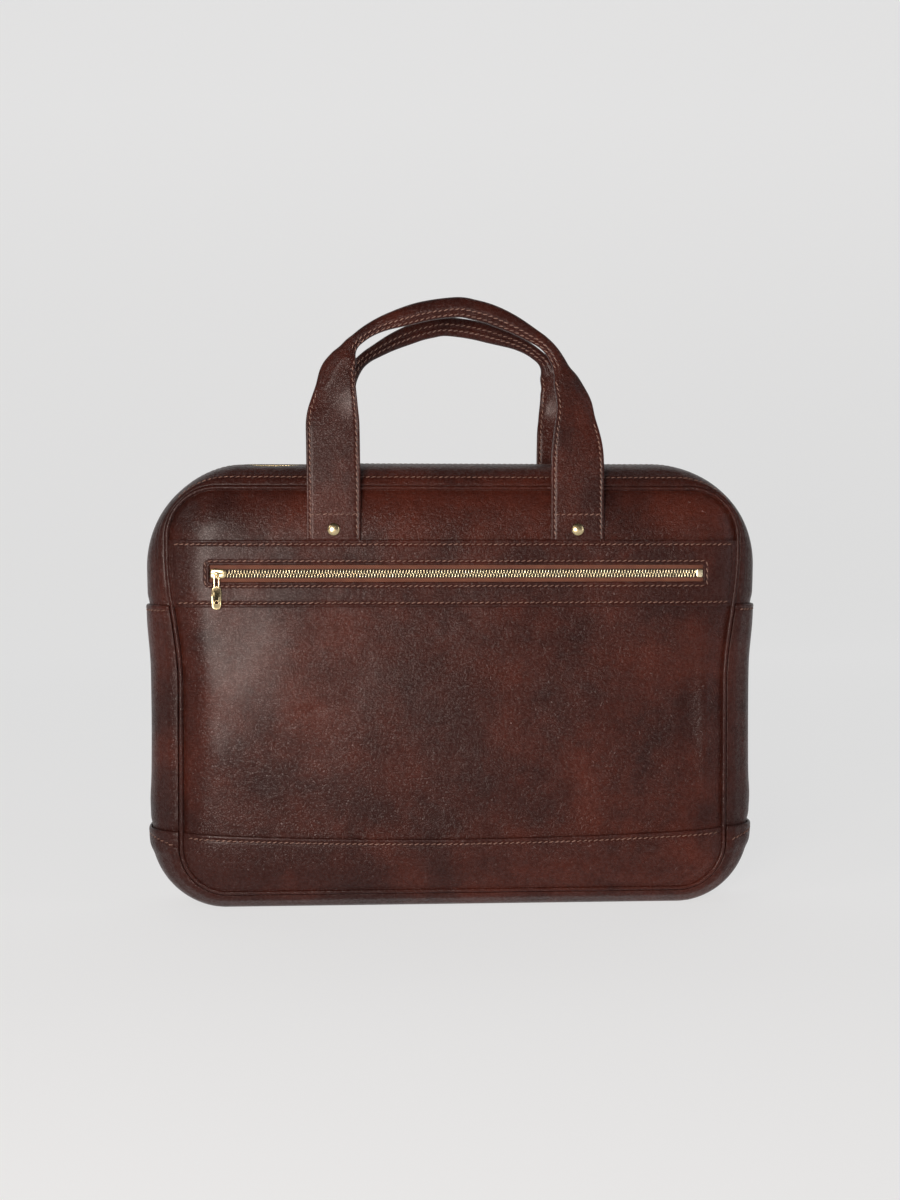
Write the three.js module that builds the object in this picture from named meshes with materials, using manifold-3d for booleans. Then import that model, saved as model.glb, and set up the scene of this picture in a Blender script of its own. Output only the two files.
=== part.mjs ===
// Leather document case: two handles, a main zip over the top and a zipped front pocket.
// Millimetres, +Z up, +X to the right seen from the front, the front faces -Y.
// The origin is the centre of the flat base.
import * as THREE from "three";
import { mergeVertices } from "three/addons/utils/BufferGeometryUtils.js";
import Module from "manifold-3d";

const wasm = await Module();
wasm.setup();

// Clearance between pieces that are sewn, riveted or laid together.
const gap = 0.3;

// Widest outline of the case, at the middle of its depth.
const caseHeight = 295.3;
const upperWidth = 408.6;
const lowerWidth = 405;
const upperCornerRadius = 70;
const lowerCornerRadius = 52;
const baseSag = 2;
const taperFoot = 150;
const taperHead = 235;

// Front and back faces: distance between the two piping lines and how far each face swells.
const seamDepth = 70;
const faceCrown = 6;
const crownReach = 35;

// The gusset stands out from the piping by these amounts.
const topBulge = 17.4;
const bottomBulge = 12;
const upperSideBulge = 16;
const lowerSideBulge = 22.3;
const pipingUpperRadius = 32;
const pipingLowerRadius = 31;

// Leather and seams.
const leather = 2;
const bandLeather = 1.4;
const pipingDiameter = 3.5;
const seamRaise = 1.2;
const lapLength = 8;
const upperSeamDrop = 25;
const lowerSeamRise = 2;

// Zip band across the front, with its window and zip.
const yokeHeight = 34.5;
const zipBandHeight = 42.8;
const windowSetIn = 25.3;
const windowHeight = 12.5;
const windowShift = 1.6;
const windowCorner = 1.5;
const windowMargin = 1.2;
const tapeThickness = 1;
const tapeMargin = 3.4;
const chainWidth = 5.3;
const chainThickness = 1.6;
const endStopLength = 4.1;
const endStopThickness = 1.9;

// Band along the foot of the front, its upper edge higher at both ends.
const footBandHeight = 34.8;
const footBandSmile = 5;

// Main zip over the top.
const topZipGap = 14;
const topTapeWidth = 25;
const topSliderLength = 9.5;
const topSliderWidth = 7;
const topSliderRise = 0.8;

// Slider and pull of the front zip.
const sliderLength = 10.6;
const sliderWidth = 7.2;
const sliderThickness = 1.6;
const bridgeRadius = 0.5;
const bridgePostThickness = 1;
const bridgePostWidth = 2.4;
const pullOffset = 1;
const pullThickness = 0.9;
const pullEyeWall = 0.4;
const neckWidth = 3.8;
const neckSlotWidth = 1.8;
const neckLength = 8.8;
const tabWidth = 6.3;
const tabLength = 14.5;
const tabCorner = 2.2;
const tabHoleRadius = 0.9;
const tabHoleRise = 4.7;

// Handles and their rivets.
const handleSpan = 160;
const strapWidth = 35;
const strapThickness = 3;
const gripHeight = 13.4;
const gripDepth = 8.6;
const gripSetBack = 3;
const handleRise = 152.2;
const backHandleDrop = 3;
const rivetRise = 7.1;
const rivetHeadDiameter = 8.3;
const rivetHeadHeight = 2;
const rivetShankDiameter = 3;
const rivetCapDiameter = 7.6;
const rivetCapThickness = 1;

// How finely the curved surfaces are divided.
const cornerSteps = 6;
const halfTopSteps = 2;
const halfBottomSteps = 2;
const sideSteps = 4;
const pipingSides = 6;
const roundSides = 12;
const arcSteps = 3;
const domeSteps = 3;
const edgeSteps = 8;
const handleSections = 28;

// Derived places.
const seamY = seamDepth / 2;
const pipingRadius = pipingDiameter / 2;
const edgeOffset = pipingRadius + gap;
const faceY = seamY + faceCrown;
const upperSeam = caseHeight - upperCornerRadius - upperSeamDrop;
const lowerSeam = lowerCornerRadius - baseSag + lowerSeamRise;
const pipingTop = caseHeight - topBulge;
const pipingBottom = bottomBulge;
const zipBandTop = pipingTop - yokeHeight;
const zipBandBottom = zipBandTop - zipBandHeight;
const zipZ = zipBandTop - zipBandHeight / 2;
const windowHalf = upperWidth / 2 - upperSideBulge - windowSetIn;
const windowLeft = windowShift - windowHalf;
const windowRight = windowShift + windowHalf;
const sliderLeft = windowLeft + windowMargin;
const chainLeft = sliderLeft + sliderLength + gap;
const endStopRight = windowRight - windowMargin;
const chainRight = endStopRight - endStopLength - gap;
const footZ = zipBandTop + gap;
const strapBackY = faceY + gap;

// Turns a closed geometry into a solid that can be cut and joined.
function solidOf(geometry) {
  const bare = new THREE.BufferGeometry();
  bare.setAttribute("position", geometry.getAttribute("position"));
  if (geometry.index) bare.setIndex(geometry.index);
  const merged = mergeVertices(bare, 1e-4);
  const mesh = new wasm.Mesh({
    numProp: 3,
    vertProperties: merged.getAttribute("position").array,
    triVerts: new Uint32Array(merged.index.array),
  });
  return new wasm.Manifold(mesh);
}

// Turns a solid back into a geometry.
function geometryOf(solid) {
  const mesh = solid.getMesh();
  const geometry = new THREE.BufferGeometry();
  geometry.setAttribute("position", new THREE.BufferAttribute(mesh.vertProperties, 3));
  geometry.setIndex(new THREE.BufferAttribute(mesh.triVerts, 1));
  geometry.computeVertexNormals();
  return geometry;
}

// Geometry from points and triangles, turned so that its faces point outwards.
function closedGeometry(points, triangles) {
  const volume = triangles.reduce((sum, [a, b, c]) => {
    return sum + points[a].dot(new THREE.Vector3().crossVectors(points[b], points[c]));
  }, 0);
  const facing = volume < 0 ? triangles.map(([a, b, c]) => [a, c, b]) : triangles;
  const geometry = new THREE.BufferGeometry().setFromPoints(points);
  geometry.setIndex(facing.flat());
  geometry.computeVertexNormals();
  return geometry;
}

// A wall between an outer and an inner grid of points, closed along its four edges.
function wall(outer, inner) {
  const across = outer[0].length;
  const rows = outer.length;
  const points = [...outer.flat(), ...inner.flat()];
  const side = rows * across;
  const triangles = [];
  const quad = (a, b, c, d) => triangles.push([a, b, c], [a, c, d]);
  for (let row = 0; row < rows - 1; row += 1) {
    for (let i = 0; i < across - 1; i += 1) {
      const a = row * across + i;
      quad(a, a + 1, a + across + 1, a + across);
      quad(side + a, side + a + across, side + a + across + 1, side + a + 1);
    }
    const first = row * across;
    const last = first + across - 1;
    quad(first, first + across, side + first + across, side + first);
    quad(last, side + last, side + last + across, last + across);
  }
  for (let i = 0; i < across - 1; i += 1) {
    const end = (rows - 1) * across + i;
    quad(i, side + i, side + i + 1, i + 1);
    quad(end, end + 1, side + end + 1, side + end);
  }
  return closedGeometry(points, triangles);
}

// Sections of equally many points joined in order, open with flat ends or as a closed ring.
function loft(sections, closed) {
  const count = sections[0].length;
  const points = sections.flat();
  const triangles = [];
  const joins = closed ? sections.length : sections.length - 1;
  for (let s = 0; s < joins; s += 1) {
    const here = s * count;
    const next = ((s + 1) % sections.length) * count;
    for (let i = 0; i < count; i += 1) {
      const j = (i + 1) % count;
      triangles.push([here + i, here + j, next + j], [here + i, next + j, next + i]);
    }
  }
  if (!closed) {
    const end = (sections.length - 1) * count;
    for (let i = 1; i < count - 1; i += 1) {
      triangles.push([0, i + 1, i], [end, end + i, end + i + 1]);
    }
  }
  return closedGeometry(points, triangles);
}

// A plate from a shape drawn in X and Z, running from Y = 0 towards the front.
function extruded(shape, depth) {
  const geometry = new THREE.ExtrudeGeometry(shape, {
    depth,
    bevelEnabled: false,
    curveSegments: arcSteps,
  });
  return geometry.rotateX(Math.PI / 2);
}

// A prism through the whole case along Y, from a shape drawn in X and Z.
function frontPrism(shape) {
  const reach = seamDepth * 2;
  return solidOf(extruded(shape, reach));
}

function rectangle(left, right, bottom, top) {
  const shape = new THREE.Shape();
  shape.moveTo(left, bottom);
  shape.lineTo(right, bottom);
  shape.lineTo(right, top);
  shape.lineTo(left, top);
  return shape;
}

function roundedRectangle(left, right, bottom, top, radius) {
  const shape = new THREE.Shape();
  shape.moveTo(left + radius, bottom);
  shape.lineTo(right - radius, bottom);
  shape.absarc(right - radius, bottom + radius, radius, -Math.PI / 2, 0);
  shape.lineTo(right, top - radius);
  shape.absarc(right - radius, top - radius, radius, 0, Math.PI / 2);
  shape.lineTo(left + radius, top);
  shape.absarc(left + radius, top - radius, radius, Math.PI / 2, Math.PI);
  shape.lineTo(left, bottom + radius);
  shape.absarc(left + radius, bottom + radius, radius, Math.PI, Math.PI * 1.5);
  return shape;
}

// Heights of the rows along the straight sides: seams, their laps and even steps between.
const lapRows = [-2, -1, 0, 1, 2.5].map((laps) => upperSeam + laps * lapLength);
const sideStart = lowerSeam + lapLength;
const sideHeights = [lowerSeam];
for (let step = 0; step < sideSteps; step += 1) {
  sideHeights.push(THREE.MathUtils.lerp(sideStart, lapRows[0], step / sideSteps));
}
sideHeights.push(...lapRows);

// Rows of half an outline, counted from the middle of the base to the middle of the top.
const lowerSeamRow = halfBottomSteps + cornerSteps + 1;
const upperSeamRow = lowerSeamRow + sideHeights.length - 3;
const topRow = lowerSeamRow + sideHeights.length + cornerSteps + halfTopSteps;

// Half of a tapered outline with round corners, from the middle of the base to the top.
// Its sides run at the lower half width below taperFoot and the upper one above taperHead.
function halfOutline(o) {
  const halfAt = (z) => {
    const share = THREE.MathUtils.smoothstep(z, taperFoot, taperHead);
    return THREE.MathUtils.lerp(o.lowerHalf, o.upperHalf, share);
  };
  const low = o.bottom + o.lowerRadius;
  const high = o.top - o.upperRadius;
  const lowX = halfAt(low) - o.lowerRadius;
  const highX = halfAt(high) - o.upperRadius;
  const rows = [];
  for (let i = 0; i < halfBottomSteps; i += 1) {
    rows.push([(lowX * i) / halfBottomSteps, o.bottom]);
  }
  for (let i = 0; i <= cornerSteps; i += 1) {
    const turn = (Math.PI / 2) * (i / cornerSteps - 1);
    rows.push([lowX + o.lowerRadius * Math.cos(turn), low + o.lowerRadius * Math.sin(turn)]);
  }
  for (const z of o.heights) rows.push([halfAt(z), z]);
  for (let i = 0; i <= cornerSteps; i += 1) {
    const turn = (Math.PI / 2) * (i / cornerSteps);
    rows.push([highX + o.upperRadius * Math.cos(turn), high + o.upperRadius * Math.sin(turn)]);
  }
  for (let i = 1; i <= halfTopSteps; i += 1) {
    rows.push([highX * (1 - i / halfTopSteps), o.top]);
  }
  return rows;
}

// The widest outline, drawn in by a depth that counts from the outer leather inwards.
function widestOutline(depth) {
  return halfOutline({
    lowerHalf: lowerWidth / 2 - depth,
    upperHalf: upperWidth / 2 - depth,
    bottom: -baseSag + depth,
    top: caseHeight - depth,
    lowerRadius: lowerCornerRadius - depth,
    upperRadius: upperCornerRadius - depth,
    heights: sideHeights,
  });
}

// The piping line, drawn in by an inset, with corners that never get sharper than a few
// millimetres. A negative inset gives the gusset's own edge.
function pipingOutline(inset) {
  const sharpest = 2;
  const lowerRadius = Math.max(pipingLowerRadius - inset, sharpest);
  const upperRadius = Math.max(pipingUpperRadius - inset, sharpest);
  const bottom = pipingBottom + inset;
  const top = pipingTop - inset;
  const lineLow = pipingBottom + pipingLowerRadius;
  const lineHigh = pipingTop - pipingUpperRadius;
  const heights = sideHeights.map((z) => {
    const range = [bottom + lowerRadius, top - upperRadius];
    return THREE.MathUtils.mapLinear(z, lineLow, lineHigh, ...range);
  });
  return halfOutline({
    lowerHalf: lowerWidth / 2 - lowerSideBulge - inset,
    upperHalf: upperWidth / 2 - upperSideBulge - inset,
    bottom,
    top,
    lowerRadius,
    upperRadius,
    heights,
  });
}

// Whole loop from half an outline, once round from the middle of the base.
function wholeLoop(half) {
  const left = half.slice(1, -1).map(([x, z]) => [-x, z]);
  return [...half, ...left.reverse()];
}

// How far a face has swollen at a distance inwards from its edge: fast at first, then flat.
function crownAt(inset) {
  const rest = Math.max(1 - inset / crownReach, 0);
  return faceCrown * (1 - rest ** 3);
}

// Insets of the rings that a face is made of, as shares of the crown's reach.
const ringShares = [0, 0.15, 0.33, 0.55, 0.78, 1];

// A swollen sheet over the whole front face. Near and far are how far its inner and its outer
// side stand in front of the face leather; the face leather itself runs from -leather to 0.
function faceSheet(near, far) {
  const sideOf = (stand) => {
    return ringShares.map((share) => {
      const inset = share * crownReach;
      const y = -(seamY + crownAt(inset) + stand);
      return wholeLoop(pipingOutline(edgeOffset + inset)).map(([x, z]) => {
        return new THREE.Vector3(x, y, z);
      });
    });
  };
  const sides = [sideOf(far), sideOf(near)];
  const count = sides[0][0].length;
  const rings = ringShares.length;
  const middleZ = (pipingTop + pipingBottom) / 2;
  const points = sides.flat(2);
  const centres = sides.map((side, i) => {
    points.push(new THREE.Vector3(0, side[rings - 1][0].y, middleZ));
    return 2 * rings * count + i;
  });
  const triangles = [];
  const inner = rings * count;
  for (let i = 0; i < count; i += 1) {
    const j = (i + 1) % count;
    for (let ring = 0; ring < rings - 1; ring += 1) {
      const a = ring * count;
      const b = a + count;
      triangles.push([a + i, b + i, b + j], [a + i, b + j, a + j]);
      triangles.push([inner + a + i, inner + b + j, inner + b + i]);
      triangles.push([inner + a + i, inner + a + j, inner + b + j]);
    }
    const last = (rings - 1) * count;
    triangles.push([last + i, centres[0], last + j]);
    triangles.push([inner + last + i, inner + last + j, centres[1]]);
    triangles.push([i, j, inner + j], [i, inner + j, inner + i]);
  }
  return solidOf(closedGeometry(points, triangles));
}

// The piping bead: a round section carried once round the piping line.
function piping(side) {
  const inner = wholeLoop(pipingOutline(pipingRadius));
  const outer = wholeLoop(pipingOutline(-pipingRadius));
  const sections = inner.map(([x, z], i) => {
    const [farX, farZ] = outer[i];
    const section = [];
    for (let k = 0; k < pipingSides; k += 1) {
      const turn = (2 * Math.PI * k) / pipingSides;
      const share = (1 + Math.cos(turn)) / 2;
      const y = side * seamY + pipingRadius * Math.sin(turn);
      const across = THREE.MathUtils.lerp(x, farX, share);
      section.push(new THREE.Vector3(across, y, THREE.MathUtils.lerp(z, farZ, share)));
    }
    return section;
  });
  return loft(sections, true);
}

// Share of the bulge at a place across the gusset: 0 at both piping lines, 1 in the middle.
function bulgeAt(place) {
  return (1 - Math.abs(place) ** 3) ** 0.625;
}

// Point on the gusset. Row counts round the outline and is negative on the left half, place
// runs from -1 at the front piping to 1 at the back one, depth counts inwards from the outside.
function gussetPoint(row, place, depth) {
  const index = Math.abs(row);
  const [edgeX, edgeZ] = pipingOutline(-edgeOffset)[index];
  const [wideX, wideZ] = widestOutline(depth)[index];
  const bulge = bulgeAt(place);
  const x = THREE.MathUtils.lerp(edgeX, wideX, bulge) * (row < 0 ? -1 : 1);
  const z = Math.max(THREE.MathUtils.lerp(edgeZ, wideZ, bulge), Math.max(depth, 0));
  return new THREE.Vector3(x, place * (seamY - depth), z);
}

// A strip of the gusset over some rows and places, between two depths. Lift gives how far the
// strip lies deeper at a row, negative where it is raised over its neighbour.
function gussetStrip(rows, places, depths, lift) {
  const grids = depths.map((depth) => {
    return rows.map((row) => {
      const here = depth + lift(Math.abs(row));
      return places.map((place) => gussetPoint(row, place, here));
    });
  });
  return wall(grids[0], grids[1]);
}

function rowRange(from, to) {
  const count = Math.abs(to - from) + 1;
  return Array.from({ length: count }, (_, i) => from + Math.sign(to - from) * i);
}

// Places across the gusset, as shares of half the seam depth: from the piping line to the zip
// tape's edge and the zip's gap. Pieces that lap share them, so that their walls stay parallel.
const tapeEdge = topTapeWidth / seamDepth;
const zipEdge = topZipGap / seamDepth;
const tapeEdges = [tapeEdge, zipEdge];
const halfPlaces = [1, 0.93, 0.78, 0.58, ...tapeEdges];
const bothSides = (places) => [...places, ...places.toReversed().map((place) => -place)];
const wholePlaces = bothSides(halfPlaces);
const seamSink = leather + gap - seamRaise;
const lowerLapRow = lowerSeamRow - 2;
const upperLapRow = upperSeamRow - 1;

// The lower ends of the two top strips tuck under the raised upper edge of the side gussets.
const topLift = (row) => (row <= upperSeamRow ? seamSink : 0);

// The side gussets are raised at their upper edge and tucked in at their lower end.
function sideLift(row) {
  if (row >= upperLapRow) return -seamRaise;
  return row <= lowerSeamRow ? seamSink : 0;
}

// The base piece is raised where it laps over the side gussets.
const baseLift = (row) => (row >= lowerLapRow ? -seamRaise : 0);

const topRows = [...rowRange(upperLapRow, topRow), ...rowRange(1 - topRow, -upperLapRow)];
const baseRows = rowRange(-lowerSeamRow, lowerSeamRow);

// One of the two strips beside the main zip, from its piping line to the zip.
function topStrip(side) {
  const places = halfPlaces.map((place) => side * place);
  return gussetStrip(topRows, places, [0, leather], topLift);
}

function topTape() {
  const shallow = leather + gap;
  const depths = [shallow, shallow + tapeThickness];
  return gussetStrip(topRows, bothSides(tapeEdges), depths, topLift);
}

function topChain() {
  const edge = chainWidth / seamDepth;
  const bottom = leather;
  const top = bottom - chainThickness;
  const sliderEnd = upperSeamRow + 2;
  const rows = topRows.filter((row) => row < 0 || row >= sliderEnd);
  return gussetStrip(rows, [-edge, edge], [top, bottom], topLift);
}

// Outline of the main zip's slider along its length, its width as a share of the widest.
const topSliderRows = [
  { along: 0, width: 0.55 },
  { along: 0.2, width: 1 },
  { along: 0.8, width: 1 },
  { along: 1, width: 0.55 },
];

// The main zip's slider: a block with narrower ends on the tape, closed at the right end.
function topSlider() {
  const room = lapRows[4] - lapRows[3];
  const margin = (room - topSliderLength) / 2 / room;
  const half = topSliderWidth / seamDepth;
  const grids = [-topSliderRise, leather].map((depth) => {
    return topSliderRows.map(({ along, width }) => {
      const share = THREE.MathUtils.lerp(margin, 1 - margin, along);
      return [-half * width, half * width].map((place) => {
        const low = gussetPoint(upperSeamRow + 1, place, depth);
        return low.lerp(gussetPoint(upperSeamRow + 2, place, depth), share);
      });
    });
  });
  return wall(grids[0], grids[1]);
}

// Sections of a handle, a row for each, from the left foot to the right one: across as a share
// of half the span, up as a share of the rise, roll from flat strap (0) to rolled grip (1).
const handleRows = [
  { across: -1, up: 0, roll: 0 },
  { across: -1, up: 0.2, roll: 0 },
  { across: -1.003, up: 0.4, roll: 0 },
  { across: -1.005, up: 0.515, roll: 0.02 },
  { across: -0.99, up: 0.6, roll: 0.23 },
  { across: -0.967, up: 0.679, roll: 0.5 },
  { across: -0.944, up: 0.738, roll: 0.68 },
  { across: -0.881, up: 0.8, roll: 0.88 },
  { across: -0.789, up: 0.846, roll: 1 },
  { across: -0.675, up: 0.891, roll: 1 },
  { across: -0.52, up: 0.934, roll: 1 },
  { across: -0.285, up: 0.978, roll: 1 },
  { across: 0, up: 1, roll: 1 },
  { across: 0.15, up: 0.992, roll: 1 },
  { across: 0.303, up: 0.963, roll: 1 },
  { across: 0.463, up: 0.92, roll: 1 },
  { across: 0.625, up: 0.869, roll: 1 },
  { across: 0.7, up: 0.84, roll: 1 },
  { across: 0.77, up: 0.802, roll: 0.98 },
  { across: 0.845, up: 0.742, roll: 0.93 },
  { across: 0.91, up: 0.68, roll: 0.8 },
  { across: 0.967, up: 0.58, roll: 0.57 },
  { across: 0.99, up: 0.475, roll: 0.23 },
  { across: 1, up: 0.37, roll: 0.03 },
  { across: 1, up: 0.2, roll: 0 },
  { across: 1, up: 0, roll: 0 },
];

// A handle: a flat strap at both feet that rolls into a round grip. A section is a rounded
// oblong whose corners turn from nearly square at the feet to an ellipse at the grip.
function handle(rise) {
  const half = handleSpan / 2;
  const line = new THREE.CatmullRomCurve3(
    handleRows.map(({ across, up, roll }) => {
      return new THREE.Vector3(across * half, roll * strapWidth, up * rise);
    }),
  );
  const sections = line.getSpacedPoints(handleSections).map((point, i) => {
    const tangent = line.getTangentAt(i / handleSections);
    const slope = new THREE.Vector2(tangent.x, tangent.z).normalize();
    const roll = THREE.MathUtils.clamp(point.y / strapWidth, 0, 1);
    const width = THREE.MathUtils.lerp(strapWidth, gripHeight, roll);
    const depth = THREE.MathUtils.lerp(strapThickness, gripDepth, roll);
    const squareness = THREE.MathUtils.lerp(0.25, 1, roll);
    const middleY = -(strapBackY + strapThickness / 2) + gripSetBack * roll;
    const section = [];
    for (let k = 0; k < roundSides; k += 1) {
      const turn = (2 * Math.PI * (k + 0.5)) / roundSides;
      const reach = (value) => Math.sign(value) * Math.abs(value) ** squareness;
      const out = (width / 2) * reach(Math.cos(turn));
      const y = middleY + (depth / 2) * reach(Math.sin(turn));
      const x = point.x - slope.y * out;
      section.push(new THREE.Vector3(x, y, footZ + point.z + slope.x * out));
    }
    return section;
  });
  return loft(sections, false);
}

// A round hole along Y for each rivet of a face, a gap wider than its shank all round.
function rivetBores() {
  const radius = rivetShankDiameter / 2 + gap;
  const bores = [-1, 1].map((side) => {
    const geometry = new THREE.CylinderGeometry(radius, radius, seamDepth * 2, roundSides);
    geometry.translate((side * handleSpan) / 2, 0, footZ + rivetRise);
    return solidOf(geometry);
  });
  return bores[0].add(bores[1]);
}

// A rivet turned round its shank: domed head in front, shank, and a flat cap inside the case.
function rivet() {
  const headFoot = strapBackY + strapThickness + gap;
  const head = rivetHeadDiameter / 2;
  const shank = rivetShankDiameter / 2;
  const cap = rivetCapDiameter / 2;
  const capInset = pipingTop - edgeOffset - (footZ + rivetRise + cap);
  const shankEnd = seamY + crownAt(capInset) - leather - gap;
  const profile = [new THREE.Vector2(0, shankEnd - rivetCapThickness)];
  profile.push(new THREE.Vector2(cap, shankEnd - rivetCapThickness));
  profile.push(new THREE.Vector2(cap, shankEnd));
  profile.push(new THREE.Vector2(shank, shankEnd));
  profile.push(new THREE.Vector2(shank, headFoot));
  for (let i = 0; i < domeSteps; i += 1) {
    const turn = (Math.PI / 2) * (i / domeSteps);
    const rise = rivetHeadHeight * Math.sin(turn);
    profile.push(new THREE.Vector2(head * Math.cos(turn), headFoot + rise));
  }
  profile.push(new THREE.Vector2(0, headFoot + rivetHeadHeight));
  return new THREE.LatheGeometry(profile, roundSides);
}

// Front of a slider's plate and the line of its bridge, which the pull hangs on.
const plateFrontY = faceY + gap + sliderThickness;
const eyeRadius = bridgeRadius + gap + pullEyeWall;
const bridgeY = -(plateFrontY + gap + eyeRadius);
const pullX = sliderLeft + sliderLength / 2 - pullOffset;

function barAlongX(radius, length) {
  const geometry = new THREE.CylinderGeometry(radius, radius, length, roundSides);
  geometry.rotateZ(Math.PI / 2);
  geometry.translate(pullX, bridgeY, zipZ);
  return solidOf(geometry);
}

// The front zip's slider: a rounded plate, two posts and the bridge bar between them.
function frontSlider() {
  const half = sliderWidth / 2;
  const right = sliderLeft + sliderLength;
  const plate = roundedRectangle(sliderLeft, right, zipZ - half, zipZ + half, half / 2);
  const geometry = extruded(plate, sliderThickness);
  geometry.translate(0, -(faceY + gap), 0);
  let body = solidOf(geometry);
  const inner = neckWidth / 2 + gap;
  const postFront = -bridgeY + bridgeRadius + gap;
  const postBack = plateFrontY - sliderThickness / 2;
  for (const side of [-1, 1]) {
    const post = new THREE.BoxGeometry(
      bridgePostThickness,
      postFront - postBack,
      bridgePostWidth,
    );
    const x = pullX + side * (inner + bridgePostThickness / 2);
    post.translate(x, -(postFront + postBack) / 2, zipZ);
    body = body.add(solidOf(post));
  }
  return geometryOf(body.add(barAlongX(bridgeRadius, neckWidth + 3 * gap)));
}

// The pull: an eye round the bridge, a slotted neck and a rounded tab with a small hole.
function frontPull() {
  const tabTop = zipZ - neckLength;
  const tabBottom = tabTop - tabLength;
  const half = tabWidth / 2;
  const neck = rectangle(pullX - neckWidth / 2, pullX + neckWidth / 2, tabTop - 1, zipZ);
  const slot = new THREE.Path();
  const slotHalf = neckSlotWidth / 2;
  const slotTop = zipZ - eyeRadius - gap;
  slot.moveTo(pullX - slotHalf, tabTop);
  slot.lineTo(pullX + slotHalf, tabTop);
  slot.lineTo(pullX + slotHalf, slotTop);
  slot.lineTo(pullX - slotHalf, slotTop);
  neck.holes.push(slot);
  const tab = roundedRectangle(pullX - half, pullX + half, tabBottom, tabTop, tabCorner);
  const hole = new THREE.Path();
  hole.absarc(pullX, tabBottom + tabHoleRise, tabHoleRadius, 0, 2 * Math.PI);
  tab.holes.push(hole);
  const flat = (shape) => {
    const geometry = extruded(shape, pullThickness);
    geometry.translate(0, bridgeY + pullThickness / 2, 0);
    return solidOf(geometry);
  };
  const eye = barAlongX(eyeRadius, neckWidth);
  const bore = barAlongX(bridgeRadius + gap, neckWidth * 2);
  return geometryOf(eye.add(flat(neck)).add(flat(tab)).subtract(bore));
}

// Front face: yoke above the zip, pocket panel below it, tape between them and bands over it.
const faceLeather = faceSheet(-leather, 0);
const bandSheet = faceSheet(gap, gap + bandLeather);
const farX = upperWidth;
const farZ = caseHeight * 2;
const slotTop = zipZ + windowHeight / 2 + tapeMargin;
const slotBottom = zipZ - windowHeight / 2 - tapeMargin;

function frontYoke() {
  const upper = frontPrism(rectangle(-farX, farX, slotTop, farZ));
  return geometryOf(faceLeather.intersect(upper).subtract(rivetBores()));
}

function pocketPanel() {
  const lower = frontPrism(rectangle(-farX, farX, -farZ, slotBottom));
  return geometryOf(faceLeather.intersect(lower));
}

function backPanel() {
  const sheet = geometryOf(faceLeather.subtract(rivetBores()));
  sheet.rotateZ(Math.PI);
  return sheet;
}

function zipBand() {
  const strip = frontPrism(rectangle(-farX, farX, zipBandBottom, zipBandTop));
  const half = windowHeight / 2;
  const window = roundedRectangle(
    windowLeft,
    windowRight,
    zipZ - half,
    zipZ + half,
    windowCorner,
  );
  return geometryOf(bandSheet.intersect(strip).subtract(frontPrism(window)));
}

// The band along the foot: its upper edge is an even curve, highest at both ends.
function footBand() {
  const edge = pipingBottom + footBandHeight;
  const half = lowerWidth / 2 - lowerSideBulge;
  const shape = new THREE.Shape();
  shape.moveTo(-farX, -farZ);
  shape.lineTo(farX, -farZ);
  shape.lineTo(farX, edge + footBandSmile);
  for (let i = 0; i <= edgeSteps; i += 1) {
    const share = 1 - (2 * i) / edgeSteps;
    shape.lineTo(share * half, edge + footBandSmile * share * share);
  }
  shape.lineTo(-farX, edge + footBandSmile);
  return geometryOf(bandSheet.intersect(frontPrism(shape)));
}

function frontTape() {
  const strip = frontPrism(rectangle(-farX, farX, slotBottom + gap, slotTop - gap));
  return geometryOf(faceSheet(-tapeThickness, 0).intersect(strip));
}

function frontChain() {
  const half = chainWidth / 2;
  const strip = frontPrism(rectangle(chainLeft, chainRight, zipZ - half, zipZ + half));
  return geometryOf(faceSheet(gap, gap + chainThickness).intersect(strip));
}

function frontEndStop() {
  const half = chainWidth / 2;
  const left = endStopRight - endStopLength;
  const block = frontPrism(rectangle(left, endStopRight, zipZ - half, zipZ + half));
  return geometryOf(faceSheet(gap, gap + endStopThickness).intersect(block));
}

function handleWithBores(rise) {
  return geometryOf(solidOf(handle(rise)).subtract(rivetBores()));
}

const leatherLook = { color: 0x45261f, roughness: 0.42, metalness: 0 };
const bandLook = { color: 0x40231d, roughness: 0.42, metalness: 0 };
const pipingLook = { color: 0x3a1f1a, roughness: 0.38, metalness: 0 };
const tapeLook = { color: 0x8f5030, roughness: 0.9, metalness: 0 };
const brassLook = { color: 0xc9ab6c, roughness: 0.3, metalness: 1 };

const documentCase = new THREE.Group();

function addPiece(parent, name, geometry, look) {
  const mesh = new THREE.Mesh(geometry, new THREE.MeshStandardMaterial(look));
  mesh.name = name;
  parent.add(mesh);
  return mesh;
}

const front = new THREE.Group();
addPiece(front, "front_yoke", frontYoke(), leatherLook);
addPiece(front, "front_pocket_panel", pocketPanel(), leatherLook);
addPiece(front, "zip_band", zipBand(), bandLook);
addPiece(front, "foot_band", footBand(), bandLook);
addPiece(front, "front_zip_tape", frontTape(), tapeLook);
addPiece(front, "front_zip_teeth", frontChain(), brassLook);
addPiece(front, "front_zip_slider", frontSlider(), brassLook);
addPiece(front, "front_zip_pull", frontPull(), brassLook);
addPiece(front, "front_zip_end_stop", frontEndStop(), brassLook);
documentCase.add(front);

addPiece(documentCase, "back_panel", backPanel(), leatherLook);
addPiece(documentCase, "front_piping", piping(-1), pipingLook);
addPiece(documentCase, "back_piping", piping(1), pipingLook);

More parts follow.
